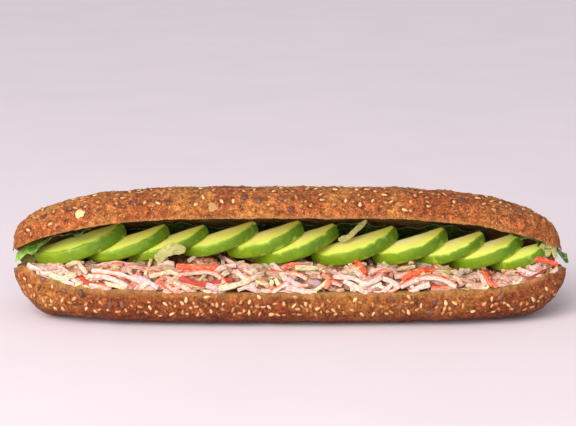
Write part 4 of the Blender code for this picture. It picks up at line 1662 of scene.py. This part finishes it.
SHREDS_SEEN = (
    Shred(Tint.WHITE, Skin.LOWER, 3.2, 1.8, 1.2, ((28, 267), (42, 266), (58, 268), (74, 277))),
    Shred(Tint.WHITE, Skin.NONE, 2.5, 1.8, 1.6, ((30, 275), (42, 272), (53, 274), (64, 281), (73, 288))),
    Shred(Tint.SHADED_RED, Skin.NONE, 2.4, 1.8, 0.8, ((62, 274), (70, 279), (80, 283))),
    Shred(Tint.SHADED_RED, Skin.NONE, 3.0, 2.2, 1.4, ((80, 276), (86, 282), (96, 285), (110, 285))),
    Shred(Tint.WHITE, Skin.NONE, 2.8, 2.0, 2.2, ((87, 276), (104, 277), (117, 281), (128, 287))),
    Shred(
        Tint.WHITE, Skin.LOWER, 3.2, 2.0, 1.4,
        ((91, 271), (110, 273), (127, 277), (143, 284), (160, 289)),
    ),
    Shred(Tint.LILAC, Skin.NONE, 2.8, 1.6, 2.4, ((133, 276), (146, 281), (159, 288))),
    Shred(Tint.CREAM, Skin.NONE, 2.3, 1.5, 2.6, ((74, 251), (81, 255), (79, 263), (87, 274))),
    Shred(Tint.WHITE, Skin.NONE, 2.6, 1.8, 1.4, ((84, 265), (96, 261), (108, 258), (121, 258))),
    Shred(Tint.CREAM, Skin.NONE, 2.2, 1.4, 3.0, ((140, 250), (150, 250), (155, 256), (160, 264))),
    Shred(Tint.CREAM, Skin.NONE, 2.0, 1.4, 2.8, ((153, 253), (150, 263), (145, 275))),
    Shred(Tint.GREEN, Skin.NONE, 5.0, 0.8, 1.6, ((127, 262), (138, 261), (150, 257))),
    Shred(Tint.GREEN, Skin.NONE, 6.0, 0.7, 0.0, ((20, 258), (25, 258), (30, 258), (37, 260)), 0.7, -6.0),
    Shred(
        Tint.PALE_LEAF, Skin.NONE, 7.0, 0.6, 0.0,
        ((157, 262), (162, 255), (171, 249), (186, 250)), 0.85, -24.5,
    ),
    Shred(
        Tint.PALE_LEAF, Skin.NONE, 3.6, 0.7, 0.0,
        ((338, 240), (348, 237), (356, 230), (367, 220)), 0.85, -15.0,
    ),
    Shred(Tint.PALE_LEAF, Skin.NONE, 3.6, 0.7, 0.0, ((543, 243), (541, 250), (537, 256)), 1.0, -17.5),
    Shred(Tint.PALE_LEAF, Skin.NONE, 3.8, 0.7, 0.0, ((548, 243), (548, 250), (547, 257)), 1.0, -17.0),
    Shred(Tint.PALE_LEAF, Skin.NONE, 3.4, 0.7, 0.0, ((552, 244), (554, 251), (556, 258)), 1.0, -16.5),
    Shred(Tint.PINK, Skin.ALL, 2.4, 1.8, 1.6, ((98, 267), (108, 271), (121, 272))),
    Shred(Tint.PINK, Skin.FRONT, 2.8, 2.0, 1.2, ((159, 282), (166, 286), (174, 286))),
    Shred(Tint.PINK, Skin.FRONT, 3.7, 2.4, 2.6, ((176, 267), (190, 267), (205, 268), (219, 267))),
    Shred(
        Tint.PINK, Skin.UPPER, 2.8, 2.0, 2.0,
        ((178, 275), (193, 273), (208, 272), (219, 276), (227, 286)),
    ),
    Shred(
        Tint.SHADED_RED, Skin.NONE, 3.4, 2.2, 1.6,
        ((180, 277), (190, 282), (204, 284), (220, 282), (233, 279)),
    ),
    Shred(Tint.CREAM, Skin.NONE, 3.2, 2.4, 3.0, ((218, 289), (237, 285), (253, 278), (267, 272))),
    Shred(Tint.WHITE, Skin.LOWER, 2.8, 2.0, 2.2, ((222, 257), (236, 266), (253, 275))),
    Shred(Tint.SHADED_RED, Skin.NONE, 2.4, 1.8, 1.4, ((232, 257), (238, 259), (245, 263))),
    Shred(Tint.WHITE, Skin.NONE, 2.2, 1.6, 1.8, ((188, 262), (196, 256), (204, 252))),
    Shred(Tint.WHITE, Skin.NONE, 2.4, 1.6, 2.0, ((210, 252), (221, 257), (224, 268))),
    Shred(
        Tint.PALE_GREEN, Skin.NONE, 2.4, 1.4, 2.0,
        ((243, 257), (258, 261), (268, 268), (272, 280), (270, 290)),
    ),
    Shred(Tint.WHITE, Skin.NONE, 3.0, 2.0, 2.6, ((270, 263), (279, 270), (286, 280), (290, 290))),
    Shred(Tint.PALE_GREEN, Skin.NONE, 3.0, 1.4, 1.4, ((275, 279), (279, 285), (283, 291))),
    Shred(Tint.PINK, Skin.FRONT, 2.8, 2.0, 2.2, ((283, 268), (292, 265), (303, 267))),
    Shred(Tint.PINK, Skin.UPPER, 2.6, 2.0, 1.8, ((285, 273), (297, 274), (308, 279))),
    Shred(Tint.LILAC, Skin.NONE, 3.2, 2.0, 2.2, ((287, 279), (296, 284), (306, 290))),
    Shred(Tint.PURPLE, Skin.NONE, 3.4, 1.8, 0.8, ((313, 282), (318, 284), (323, 288))),
    Shred(Tint.CLEAR, Skin.NONE, 2.6, 1.4, 1.8, ((298, 258), (306, 262), (313, 268))),
    Shred(Tint.WHITE, Skin.NONE, 2.8, 1.6, 2.4, ((315, 263), (321, 269), (320, 278))),
    Shred(Tint.CORAL, Skin.NONE, 2.6, 1.8, 2.2, ((322, 274), (329, 280), (325, 289))),
    Shred(Tint.PINK, Skin.UPPER, 2.6, 1.8, 2.0, ((326, 290), (331, 282), (342, 286))),
    Shred(Tint.WHITE, Skin.NONE, 2.8, 1.8, 2.8, ((333, 277), (352, 278), (366, 284), (382, 277))),
    Shred(Tint.PINK, Skin.ALL, 3.2, 2.2, 3.0, ((352, 257), (359, 265), (366, 274))),
    Shred(Tint.WHITE, Skin.NONE, 2.6, 1.8, 2.2, ((347, 260), (353, 268), (361, 277))),
    Shred(Tint.WHITE, Skin.NONE, 2.4, 1.6, 2.2, ((367, 255), (370, 262), (373, 270))),
    Shred(Tint.PALE_GREEN, Skin.NONE, 2.2, 1.2, 2.0, ((376, 256), (379, 264), (383, 272))),
    Shred(Tint.PINK, Skin.NONE, 2.6, 1.8, 1.8, ((324, 272), (331, 267), (338, 262))),
    Shred(Tint.PALE_GREEN, Skin.NONE, 5.0, 0.7, 2.2, ((381, 267), (394, 261), (411, 260))),
    Shred(Tint.PALE_GREEN, Skin.NONE, 5.2, 0.7, 3.0, ((392, 268), (411, 264), (430, 264), (450, 263))),
    Shred(Tint.PINK, Skin.FRONT, 3.8, 2.0, 2.0, ((402, 280), (412, 274), (422, 271), (436, 271))),
    Shred(
        Tint.WHITE, Skin.UPPER, 3.2, 2.0, 2.8,
        ((400, 287), (414, 280), (429, 277), (444, 280), (457, 289)),
    ),
    Shred(Tint.WHITE, Skin.NONE, 3.0, 2.0, 1.6, ((382, 278), (392, 282), (400, 288))),
    Shred(Tint.GREEN, Skin.NONE, 4.0, 0.9, 1.4, ((436, 266), (443, 269), (450, 274))),
    Shred(Tint.PINK, Skin.FRONT, 2.8, 2.0, 2.8, ((481, 262), (485, 272), (490, 283), (498, 288))),
    Shred(Tint.WHITE, Skin.NONE, 2.4, 1.8, 2.2, ((477, 263), (480, 274), (486, 286))),
    Shred(Tint.WHITE, Skin.UPPER, 3.0, 2.0, 2.4, ((513, 262), (507, 273), (497, 285))),
    Shred(Tint.GREEN, Skin.NONE, 5.0, 0.9, 1.0, ((500, 285), (509, 281), (519, 278))),
    Shred(Tint.WHITE, Skin.NONE, 2.8, 2.0, 2.2, ((515, 260), (518, 268), (530, 274))),
    Shred(Tint.WHITE, Skin.NONE, 2.6, 1.8, 2.6, ((522, 258), (526, 265), (536, 270))),
    Shred(Tint.BURGUNDY, Skin.NONE, 1.4, 1.2, 2.0, ((515, 272), (527, 278), (543, 275), (560, 268))),
    Shred(
        Tint.PINK, Skin.FRONT, 2.9, 2.0, 0.0,
        ((532, 258), (538, 259), (547, 261), (558, 265)), 1.0, -19.5,
    ),
    Shred(Tint.GREEN, Skin.NONE, 3.4, 0.9, 0.8, ((48, 279), (57, 281), (67, 286))),
    Shred(Tint.CREAM, Skin.NONE, 2.2, 1.6, 1.6, ((487, 262), (495, 267), (503, 266))),
    Shred(Tint.WHITE, Skin.NONE, 2.8, 1.8, 1.6, ((455, 272), (464, 278), (475, 282))),
    Shred(Tint.WHITE, Skin.NONE, 2.6, 1.8, 1.8, ((462, 266), (470, 271), (476, 266))),
    Shred(Tint.CREAM, Skin.NONE, 2.6, 1.8, 1.4, ((160, 276), (170, 272), (180, 276))),
    Shred(Tint.WHITE, Skin.NONE, 2.6, 1.8, 1.2, ((236, 270), (246, 280), (258, 286))),
)


@dataclass
class Salad:
    """The heap of shredded surimi salad in its dressing."""

    roll: RollShape
    avocado: AvocadoRow
    view: Viewpoint
    left: float = -136.0
    right: float = 138.0
    front: float = 35.5
    back: float = 24.0
    height: float = 30.0
    crown: float = 10.0
    lean: float = 8.0
    lump: float = 8.0
    lump_height: float = 1.6
    bits: tuple[tuple[float, float], ...] = ((3.4, 1.3), (1.7, 0.5))
    roof_gap: float = 4.5
    slice_margin: float = 7.0
    gap: float = 0.45
    stations: int = 300
    around: int = 84
    fill_count: int = 340
    spilt_count: int = 55
    knot_steps: int = 5
    strip_around: int = 12
    strip_power: float = 0.4
    outwards: tuple[float, float, float] = (0.05, -1.0, 0.35)
    ruffle_length: float = 1.6
    skin_spread: float = 0.05
    skin_edge: float = 2.5
    leaf_wave: float = 0.7
    lip_across: float = -31.0
    tree: BVHTree | None = None

    def top(self, x: float, y: float) -> float:
        """Give the height of the heap, below the slices, the lettuce and the roof.

        Args:
            x: Place along the sandwich in millimetres.
            y: Place across it.

        Returns:
            Height in millimetres.
        """
        u = x / self.roll.half_length
        heap = self.height + self.crown * min(1.0, beyond(y, -25.0, 30.0))
        heap += relief((x * MM, y * MM, 0.0), self.lump, self.lump_height)
        heap = min(heap, self.avocado.under(x, y, self.slice_margin))
        roof = self.roll.roof_height(x, y) - self.roof_gap
        heap = min(heap, roof - 2.0 * beyond(abs(u), 0.8, 0.15))
        return max(heap, self.roll.cut_height(u, y) + 2.0)

    def face(self, front: float, share: float) -> float:
        """Give the place across of the heap's front at a share of its height."""
        return front + 0.4 + self.lean * min(1.2, max(0.0, share)) ** 1.5

    def outline(self, x: float) -> list[tuple[float, float]]:
        """Work out the outline of the heap across the length.

        Args:
            x: Place along the sandwich in millimetres.

        Returns:
            Points across and up in millimetres.
        """
        u = x / self.roll.half_length
        wide = tapered(u, self.roll.plan_power)
        front, back = -self.front * wide, self.back * wide
        points = []
        for share in (0.0, 0.33, 0.66, 1.0):
            y = back + (front - back) * share
            points.append((y, self.roll.cut_height(u, y) + self.gap + 0.3))
        low = self.roll.cut_height(u, front)
        top_y = front + self.lean * wide
        for share in (0.15, 0.3, 0.5, 0.65, 0.82):
            points.append((self.face(front, share), low + share * (self.top(x, top_y) - low)))
        for share in np.linspace(0.0, 1.0, 26):
            y = top_y + (back - top_y) * share
            points.append((y, self.top(x, y)))
        return points

    def core(self) -> None:
        """Build the minced heart of the heap."""
        rings = []
        for x in np.linspace(self.left, self.right, self.stations):
            flat = rounded_ring(self.outline(x), self.around, 1)
            rings.append(np.column_stack((np.full(self.around, x), flat)))
        for end in (0, -1):
            edge = rings[end]
            middle = edge.mean(axis=0)
            for share in (0.6, 0.0):
                rings.insert(0 if end == 0 else len(rings), middle + (edge - middle) * share)
        bm = bmesh.new()
        add_skin(bm, np.array(rings) * MM, {})
        closed_up(bm)
        bm.normal_update()
        for vert in bm.verts:
            facing = max(0.0, -vert.normal.y) + 0.4 * max(0.0, vert.normal.z)
            lift = sum(relief(vert.co, size, depth) for size, depth in self.bits)
            vert.co += vert.normal * facing * (lift - 0.5) * MM
        self.tree = BVHTree.FromBMesh(bm)
        to_piece("salad_core", bm, DressedMince().build(), ["crab_salad"])

    def on_heap(self, pixel: Sequence[float], lift: float) -> Vector:
        """Give the point of the heap's front that the view shows at a spot of the image.

        Args:
            pixel: Column and row in the image.
            lift: How far the point stands off the heap, in millimetres.

        Returns:
            Point in metres.
        """
        start, towards = self.view.ray(pixel)
        spot = self.tree.ray_cast(start, towards)[0]
        if spot is None:
            spot = self.view.at(pixel, self.lip_across)
            spot = self.tree.find_nearest(spot)[0]
        return spot - towards * lift * MM

    def add(
        self,
        bm: bmesh.types.BMesh,
        run: Sequence[Vector],
        shred: Shred,
        wave: float,
        twist: float,
    ) -> None:
        """Sweep a rounded strip along a run of points.

        Args:
            bm: Mesh that the shred joins.
            run: Points that it follows, in metres.
            shred: Its colours and sizes.
            wave: Height of the ruffles of its edges, in millimetres.
            twist: Turn about its length from end to end, in radians.
        """
        count, around = self.knot_steps * len(run) + 4, self.strip_around
        marks = np.linspace(0, len(run) - 1, count - 2)
        marks = np.concatenate((marks[:1], marks, marks[-1:]))
        knots = np.array([tuple(point) for point in run])
        line = np.column_stack([smooth_run(knots[:, axis], marks) for axis in range(3)])
        for _ in range(2):
            line[1:-1] = 0.25 * line[:-2] + 0.5 * line[1:-1] + 0.25 * line[2:]
        # Painted shade: the tint is darkened by the shred's light value, more in blue than in red
        shade_warmth = np.array([shred.light ** power for power in (1.0, 1.25, 1.45, 0.0)])
        tint = np.array(linear(shred.tint.value)) * shade_warmth
        rings, skins, fibres, far = [], [], [], 0.0
        view_out = Vector(self.outwards).normalized()
        for step, point in enumerate(line):
            before, after = line[max(step - 2, 0)], line[min(step + 2, count - 1)]
            along = Vector(after - before).normalized()
            if step:
                far += float(np.linalg.norm(point - line[step - 1]))
            across = along.cross(view_out)
            across = across.normalized() if across.z >= 0 else -across.normalized()
            out = across.cross(along).normalized()
            if out.y > 0:
                out = -out
            turn = twist * (step / (count - 1) - 0.5)
            across, out = (
                across * math.cos(turn) + out * math.sin(turn),
                out * math.cos(turn) - across * math.sin(turn),
            )
            part = step / (count - 1)
            fine = 0.9 + 0.28 * relief(point, 4.0, 1.0)
            blunt, narrowing = (0.25, 3.2) if shred.is_leaf else (0.75, 2.5)
            fine = min(fine, blunt + narrowing * min(part, 1 - part)) if 0 < step < count - 1 else 0.0
            ring, skin, fibre = [], [], []
            for corner in range(around):
                angle = 2 * math.pi * corner / around
                side = signed_power(math.cos(angle), self.strip_power)
                front = signed_power(math.sin(angle), self.strip_power)
                half_wide, half_thick = shred.width * 0.5 * MM, shred.thick * 0.5 * MM
                ruffle = wave * MM * side * math.sin(far / (self.ruffle_length * MM) + side)
                ring.append(
                    Vector(point)
                    + across * side * half_wide * fine
                    + out * (front * half_thick * fine + ruffle * fine)
                )
                where = shred.skin.value
                share = (side * where[0] + front * where[1] + self.skin_spread) * self.skin_edge
                skin.append(1.0 if shred.skin is Skin.ALL else min(1.0, max(0.0, share)))
                fibre.append((far + point[0], side * half_wide, front * half_thick + point[2]))
            rings.append([tuple(spot) for spot in ring])
            skins.append(skin)
            fibres.append(fibre)
        tints = np.broadcast_to(tint, (count, around, 4))
        traits = {"skin": np.array(skins), "fibre": np.array(fibres), "tint": tints}
        add_skin(bm, np.array(rings), traits)

    def seen(self, bm: bmesh.types.BMesh, rng: random.Random) -> None:
        """Lay the shreds that the view shows, on the heap or at their own place across.

        Args:
            bm: Mesh that the shreds join.
            rng: Source of their twist.
        """
        for shred in SHREDS_SEEN:
            if shred.across is None:
                run = [self.on_heap(pixel, shred.lift) for pixel in shred.run]
            else:
                run = [self.view.at(pixel, shred.across) for pixel in shred.run]
            wave = self.leaf_wave if shred.is_leaf else 0.0
            self.add(bm, run, shred, wave, rng.uniform(-0.5, 0.5))

    def fill(self, bm: bmesh.types.BMesh, rng: random.Random) -> None:
        """Fill in between with shorter shreds over the heap's front and top.

        Args:
            bm: Mesh that the shreds join.
            rng: Source of their places, sizes and tints.
        """
        tints = (
            [Tint.WHITE] * 9 + [Tint.CREAM] * 6 + [Tint.PINK] * 4 + [Tint.PALE_GREEN] * 2
            + [Tint.CLEAR, Tint.CLEAR, Tint.TAN, Tint.LILAC]
        )
        sides = [Skin.NONE] * 7 + [Skin.UPPER, Skin.LOWER]
        for index in range(self.fill_count):
            spilt = index < self.spilt_count
            x = rng.uniform(self.left + 3, self.right - 3)
            u = x / self.roll.half_length
            front = -self.front * tapered(u, self.roll.plan_power)
            share = rng.uniform(0.0, 0.25) if spilt else rng.uniform(0.05, 1.5)
            low = self.roll.cut_height(u, front)
            y = self.face(front, share) if share < 1 else front + self.lean + (share - 1) * 14
            z = self.top(x, y)
            if share < 1:
                z = low + share * (self.top(x, front + self.lean) - low)
            tint, side = rng.choice(tints), rng.choice(sides)
            if tint in (Tint.PALE_GREEN, Tint.CLEAR, Tint.LILAC, Tint.GREEN):
                side = Skin.NONE
            length = rng.uniform(6, 18)
            lift = rng.uniform(1.0, 2.2) if spilt else rng.uniform(-0.3, 1.1)
            slope = rng.uniform(-0.9, 0.9) if spilt else rng.uniform(-1.3, 1.3)
            lean = Vector((math.cos(slope), rng.uniform(-0.15, 0.15), math.sin(slope)))
            run = []
            for part in (-0.5, 0.0, 0.5):
                spot = Vector((x, y, z)) * MM + lean * part * length * MM
                near = self.tree.find_nearest(spot)
                run.append(near[0] + near[1] * (lift + rng.uniform(-0.2, 0.2)) * MM)
            wide = rng.uniform(1.8, 3.4)
            # Painted shade: shreds that lie low on the heap are darker
            light = 1.0 if spilt else 0.5 + 0.32 * max(0.0, lift)
            shred = Shred(tint, side, wide, wide * rng.uniform(0.5, 0.8), 0.0, (), light)
            self.add(bm, run, shred, 0.0, rng.uniform(-1.5, 1.5))

    def build(self) -> None:
        """Build and dress the salad."""
        self.core()
        for name, layer, seed in (("salad_mince", self.fill, 5), ("surimi_shreds", self.seen, 9)):
            bm = bmesh.new()
            layer(bm, random.Random(seed))
            closed_up(bm)
            finish = ShreddedFlesh(name + "_flesh").build()
            to_piece(name, bm, finish, ["crab_salad"])


# Lettuce


@dataclass
class Lettuce:
    """The leaves behind the slices and at both ends."""

    roll: RollShape
    avocado: AvocadoRow
    thickness: float = 0.8
    bend: float = 136.0
    sink_span: float = 8.0
    tip_height: float = 28.3
    tip_slope: float = 3.0
    hang: float = 5.0
    slice_margin: float = 9.0
    back_start: float = -112.0
    back_length: float = 216.0
    back_depth: float = 21.0
    left_end: tuple[float, float] = (-143.5, 41.0)
    right_end: tuple[float, float] = (145.5, 31.0)

    def height(self, x: float, y: float, drop: float, deep: float) -> float:
        """Give the height of a leaf's lower face: under the roof, over the slices.

        Args:
            x: Place along the sandwich in millimetres.
            y: Place across it.
            drop: How far the leaf hangs under the roof.
            deep: Share of the way from its front edge to its back.

        Returns:
            Height in millimetres.
        """
        inner = max(-self.bend, min(x, self.bend))
        roof = self.roll.roof_height(inner, y) - 1.0
        low = self.avocado.over(inner, y, self.slice_margin) if y < -1.0 else 0.0
        height = min(roof - 0.9, max(roof - drop, low))
        sink = min(1.0, beyond(abs(x), self.bend, self.sink_span))
        return height + (self.tip_height + self.tip_slope * deep - height) * sink

    def back_leaf(self, across: float, deep: float) -> Vector:
        """Work out a point of the leaf behind the slices, ruffled along its front edge.

        Args:
            across: Share of the way along the leaf.
            deep: Share of the way from its front edge to its back.

        Returns:
            Point in millimetres.
        """
        x, y = self.back_start + self.back_length * across, 1.5 + self.back_depth * deep
        sweep = x / 5.2 + 1.4 * math.sin(x / 17.0)
        ruffle = (1.3 * math.sin(sweep) + 0.6 * math.sin(x / 1.9)) * (1 - deep)
        return Vector((x, y, self.height(x, y, 2.0 + (1 - deep) - ruffle, deep)))

    def end_leaf(self, tip: float, length: float, across: float, deep: float) -> Vector:
        """Work out a point of a leaf that runs in from a tip of the sandwich.

        Args:
            tip: Place of the tip along the sandwich, in millimetres.
            length: Length of the leaf from there.
            across: Share of the way along the leaf.
            deep: Share of the way from its front edge to its back.

        Returns:
            Point in millimetres.
        """
        x = tip - math.copysign(length, tip) * across
        reach = tapered(min(abs(x) / self.roll.half_length, 0.985), self.roll.plan_power)
        edge = 1 - deep
        y = -25.5 * reach * edge - 3.0 * (1 + reach) * deep
        hang = self.hang * min(1.0, beyond(abs(x), 124.0, 10.0)) * edge**2
        ruffle = (0.8 * math.sin(x / 3.3 + 2.5 * deep) + 0.6 * math.sin(x / 1.3)) * edge
        z = self.height(x, y, 2.0 + hang - ruffle, deep)
        return Vector((x, y + 0.8 * math.sin(x / 1.7) * edge, z))

    def left_leaf(self, across: float, deep: float) -> Vector:
        """Give a point of the leaf under the crown's left end."""
        return self.end_leaf(*self.left_end, across, deep)

    def right_leaf(self, across: float, deep: float) -> Vector:
        """Give a point of the leaf under the crown's right end."""
        return self.end_leaf(*self.right_end, across, deep)

    def leaf(
        self,
        name: str,
        node: str,
        shape: Callable[[float, float], Vector],
        grid: tuple[int, int],
        young: Callable[[float, float], float],
        finish: bpy.types.Material,
    ) -> None:
        """Build one leaf as a thin wavy sheet with two faces.

        Args:
            name: Name of the piece.
            node: Solid that it stands for.
            shape: Point of the leaf at shares across and deep.
            grid: Steps across and deep.
            young: How young and pale the leaf is at shares across and deep.
            finish: Material of the leaf.
        """
        bm = bmesh.new()
        layer = bm.verts.layers.float.new("young")
        edge = bm.verts.layers.float.new("edge")
        bmesh.ops.create_grid(bm, x_segments=grid[0], y_segments=grid[1], size=0.5)
        for vert in bm.verts:
            across, deep = vert.co.x + 0.5, vert.co.y + 0.5
            vert.co = shape(across, deep) * MM
            vert[layer] = young(across, deep)
            vert[edge] = deep
        upper = bmesh.ops.extrude_face_region(bm, geom=list(bm.faces), use_keep_orig=True)
        for item in upper["geom"]:
            if isinstance(item, bmesh.types.BMVert):
                item.co.z += self.thickness * MM * (0.3 + 0.7 * min(1.0, 6 * item[edge]))
        closed_up(bm)
        to_piece(name, bm, finish, [node])

    def build(self) -> None:
        """Build and dress the leaves."""
        finish = LettuceLeaf().build()
        self.leaf(
            "leaf_back", "lettuce_back", self.back_leaf, (360, 24),
            lambda across, deep: 0.12 + 0.16 * math.sin(37 * across) * (1 - deep), finish,
        )
        self.leaf(
            "leaf_left", "lettuce_left", self.left_leaf, (110, 30),
            lambda across, deep: 0.62 - 0.55 * min(1.0, across * 1.6), finish,
        )
        self.leaf(
            "leaf_right", "lettuce_right", self.right_leaf, (90, 30),
            lambda across, deep: 0.12 + 0.4 * across, finish,
        )


# The studio


@dataclass
class Studio:
    """Plain pale floor and soft light from the upper left."""

    view: Viewpoint
    floor_size: float = 4.0
    aim: tuple[float, float, float] = (0.0, 0.0, 0.03)

    def light(
        self, name: str, place: tuple[float, float, float], size: float, power: float, colour: str
    ) -> None:
        """Add a soft square light that faces the sandwich.

        Args:
            name: Name of the light.
            place: Where it hangs, in metres.
            size: Length of a side in metres.
            power: Its power in watts.
            colour: Its colour.
        """
        data = bpy.data.lights.new(name, "AREA")
        data.size = size
        data.energy = power
        data.color = linear(colour)[:3]
        lamp = bpy.data.objects.new(name, data)
        lamp.location = place
        towards = Vector(self.aim) - Vector(place)
        lamp.rotation_euler = towards.to_track_quat("-Z", "Y").to_euler()
        bpy.context.scene.collection.objects.link(lamp)

    def build(self) -> None:
        """Make the floor, the lights and the camera."""
        bm = bmesh.new()
        bmesh.ops.create_grid(bm, x_segments=1, y_segments=1, size=self.floor_size)
        mesh = bpy.data.meshes.new("floor")
        bm.to_mesh(mesh)
        bm.free()
        mesh.materials.append(PaleFloor().build())
        floor = bpy.data.objects.new("floor", mesh)
        bpy.context.scene.collection.objects.link(floor)
        self.light("window", (-0.8, -0.8, 0.4), 0.8, 9.5, "#fffaf2")
        self.light("front", (0.1, -1.3, 0.5), 1.2, 9.0, "#fffdfa")
        sun = bpy.data.lights.new("sky", "SUN")
        sun.energy = 1.7
        sun.angle = math.radians(40)
        sky = bpy.data.objects.new("sky", sun)
        sky.rotation_euler = Vector((-0.35, -0.6, 0.6)).to_track_quat("Z", "Y").to_euler()
        bpy.context.scene.collection.objects.link(sky)
        world = bpy.data.worlds.new("studio")
        world.use_nodes = True
        background = world.node_tree.nodes["Background"]
        background.inputs["Color"].default_value = linear("#f4f4f6")
        background.inputs["Strength"].default_value = 0.5
        bpy.context.scene.world = world
        bpy.context.scene.view_settings.view_transform = "Standard"
        self.view.build()


def main() -> None:
    """Build the sandwich piece by piece, then its studio."""
    logging.basicConfig(level=logging.INFO, format="%(name)s: %(message)s")
    view = Viewpoint()
    shape = RollShape()
    roll = Roll(shape)
    roll.build()
    roll.paint_shade_round(Seeds(view, roll.trees(), shape.half_length).build())
    avocado = AvocadoRow(view)
    avocado.build()
    Salad(shape, avocado, view).build()
    Lettuce(shape, avocado).build()
    Studio(view).build()


if __name__ == "__main__":
    main()
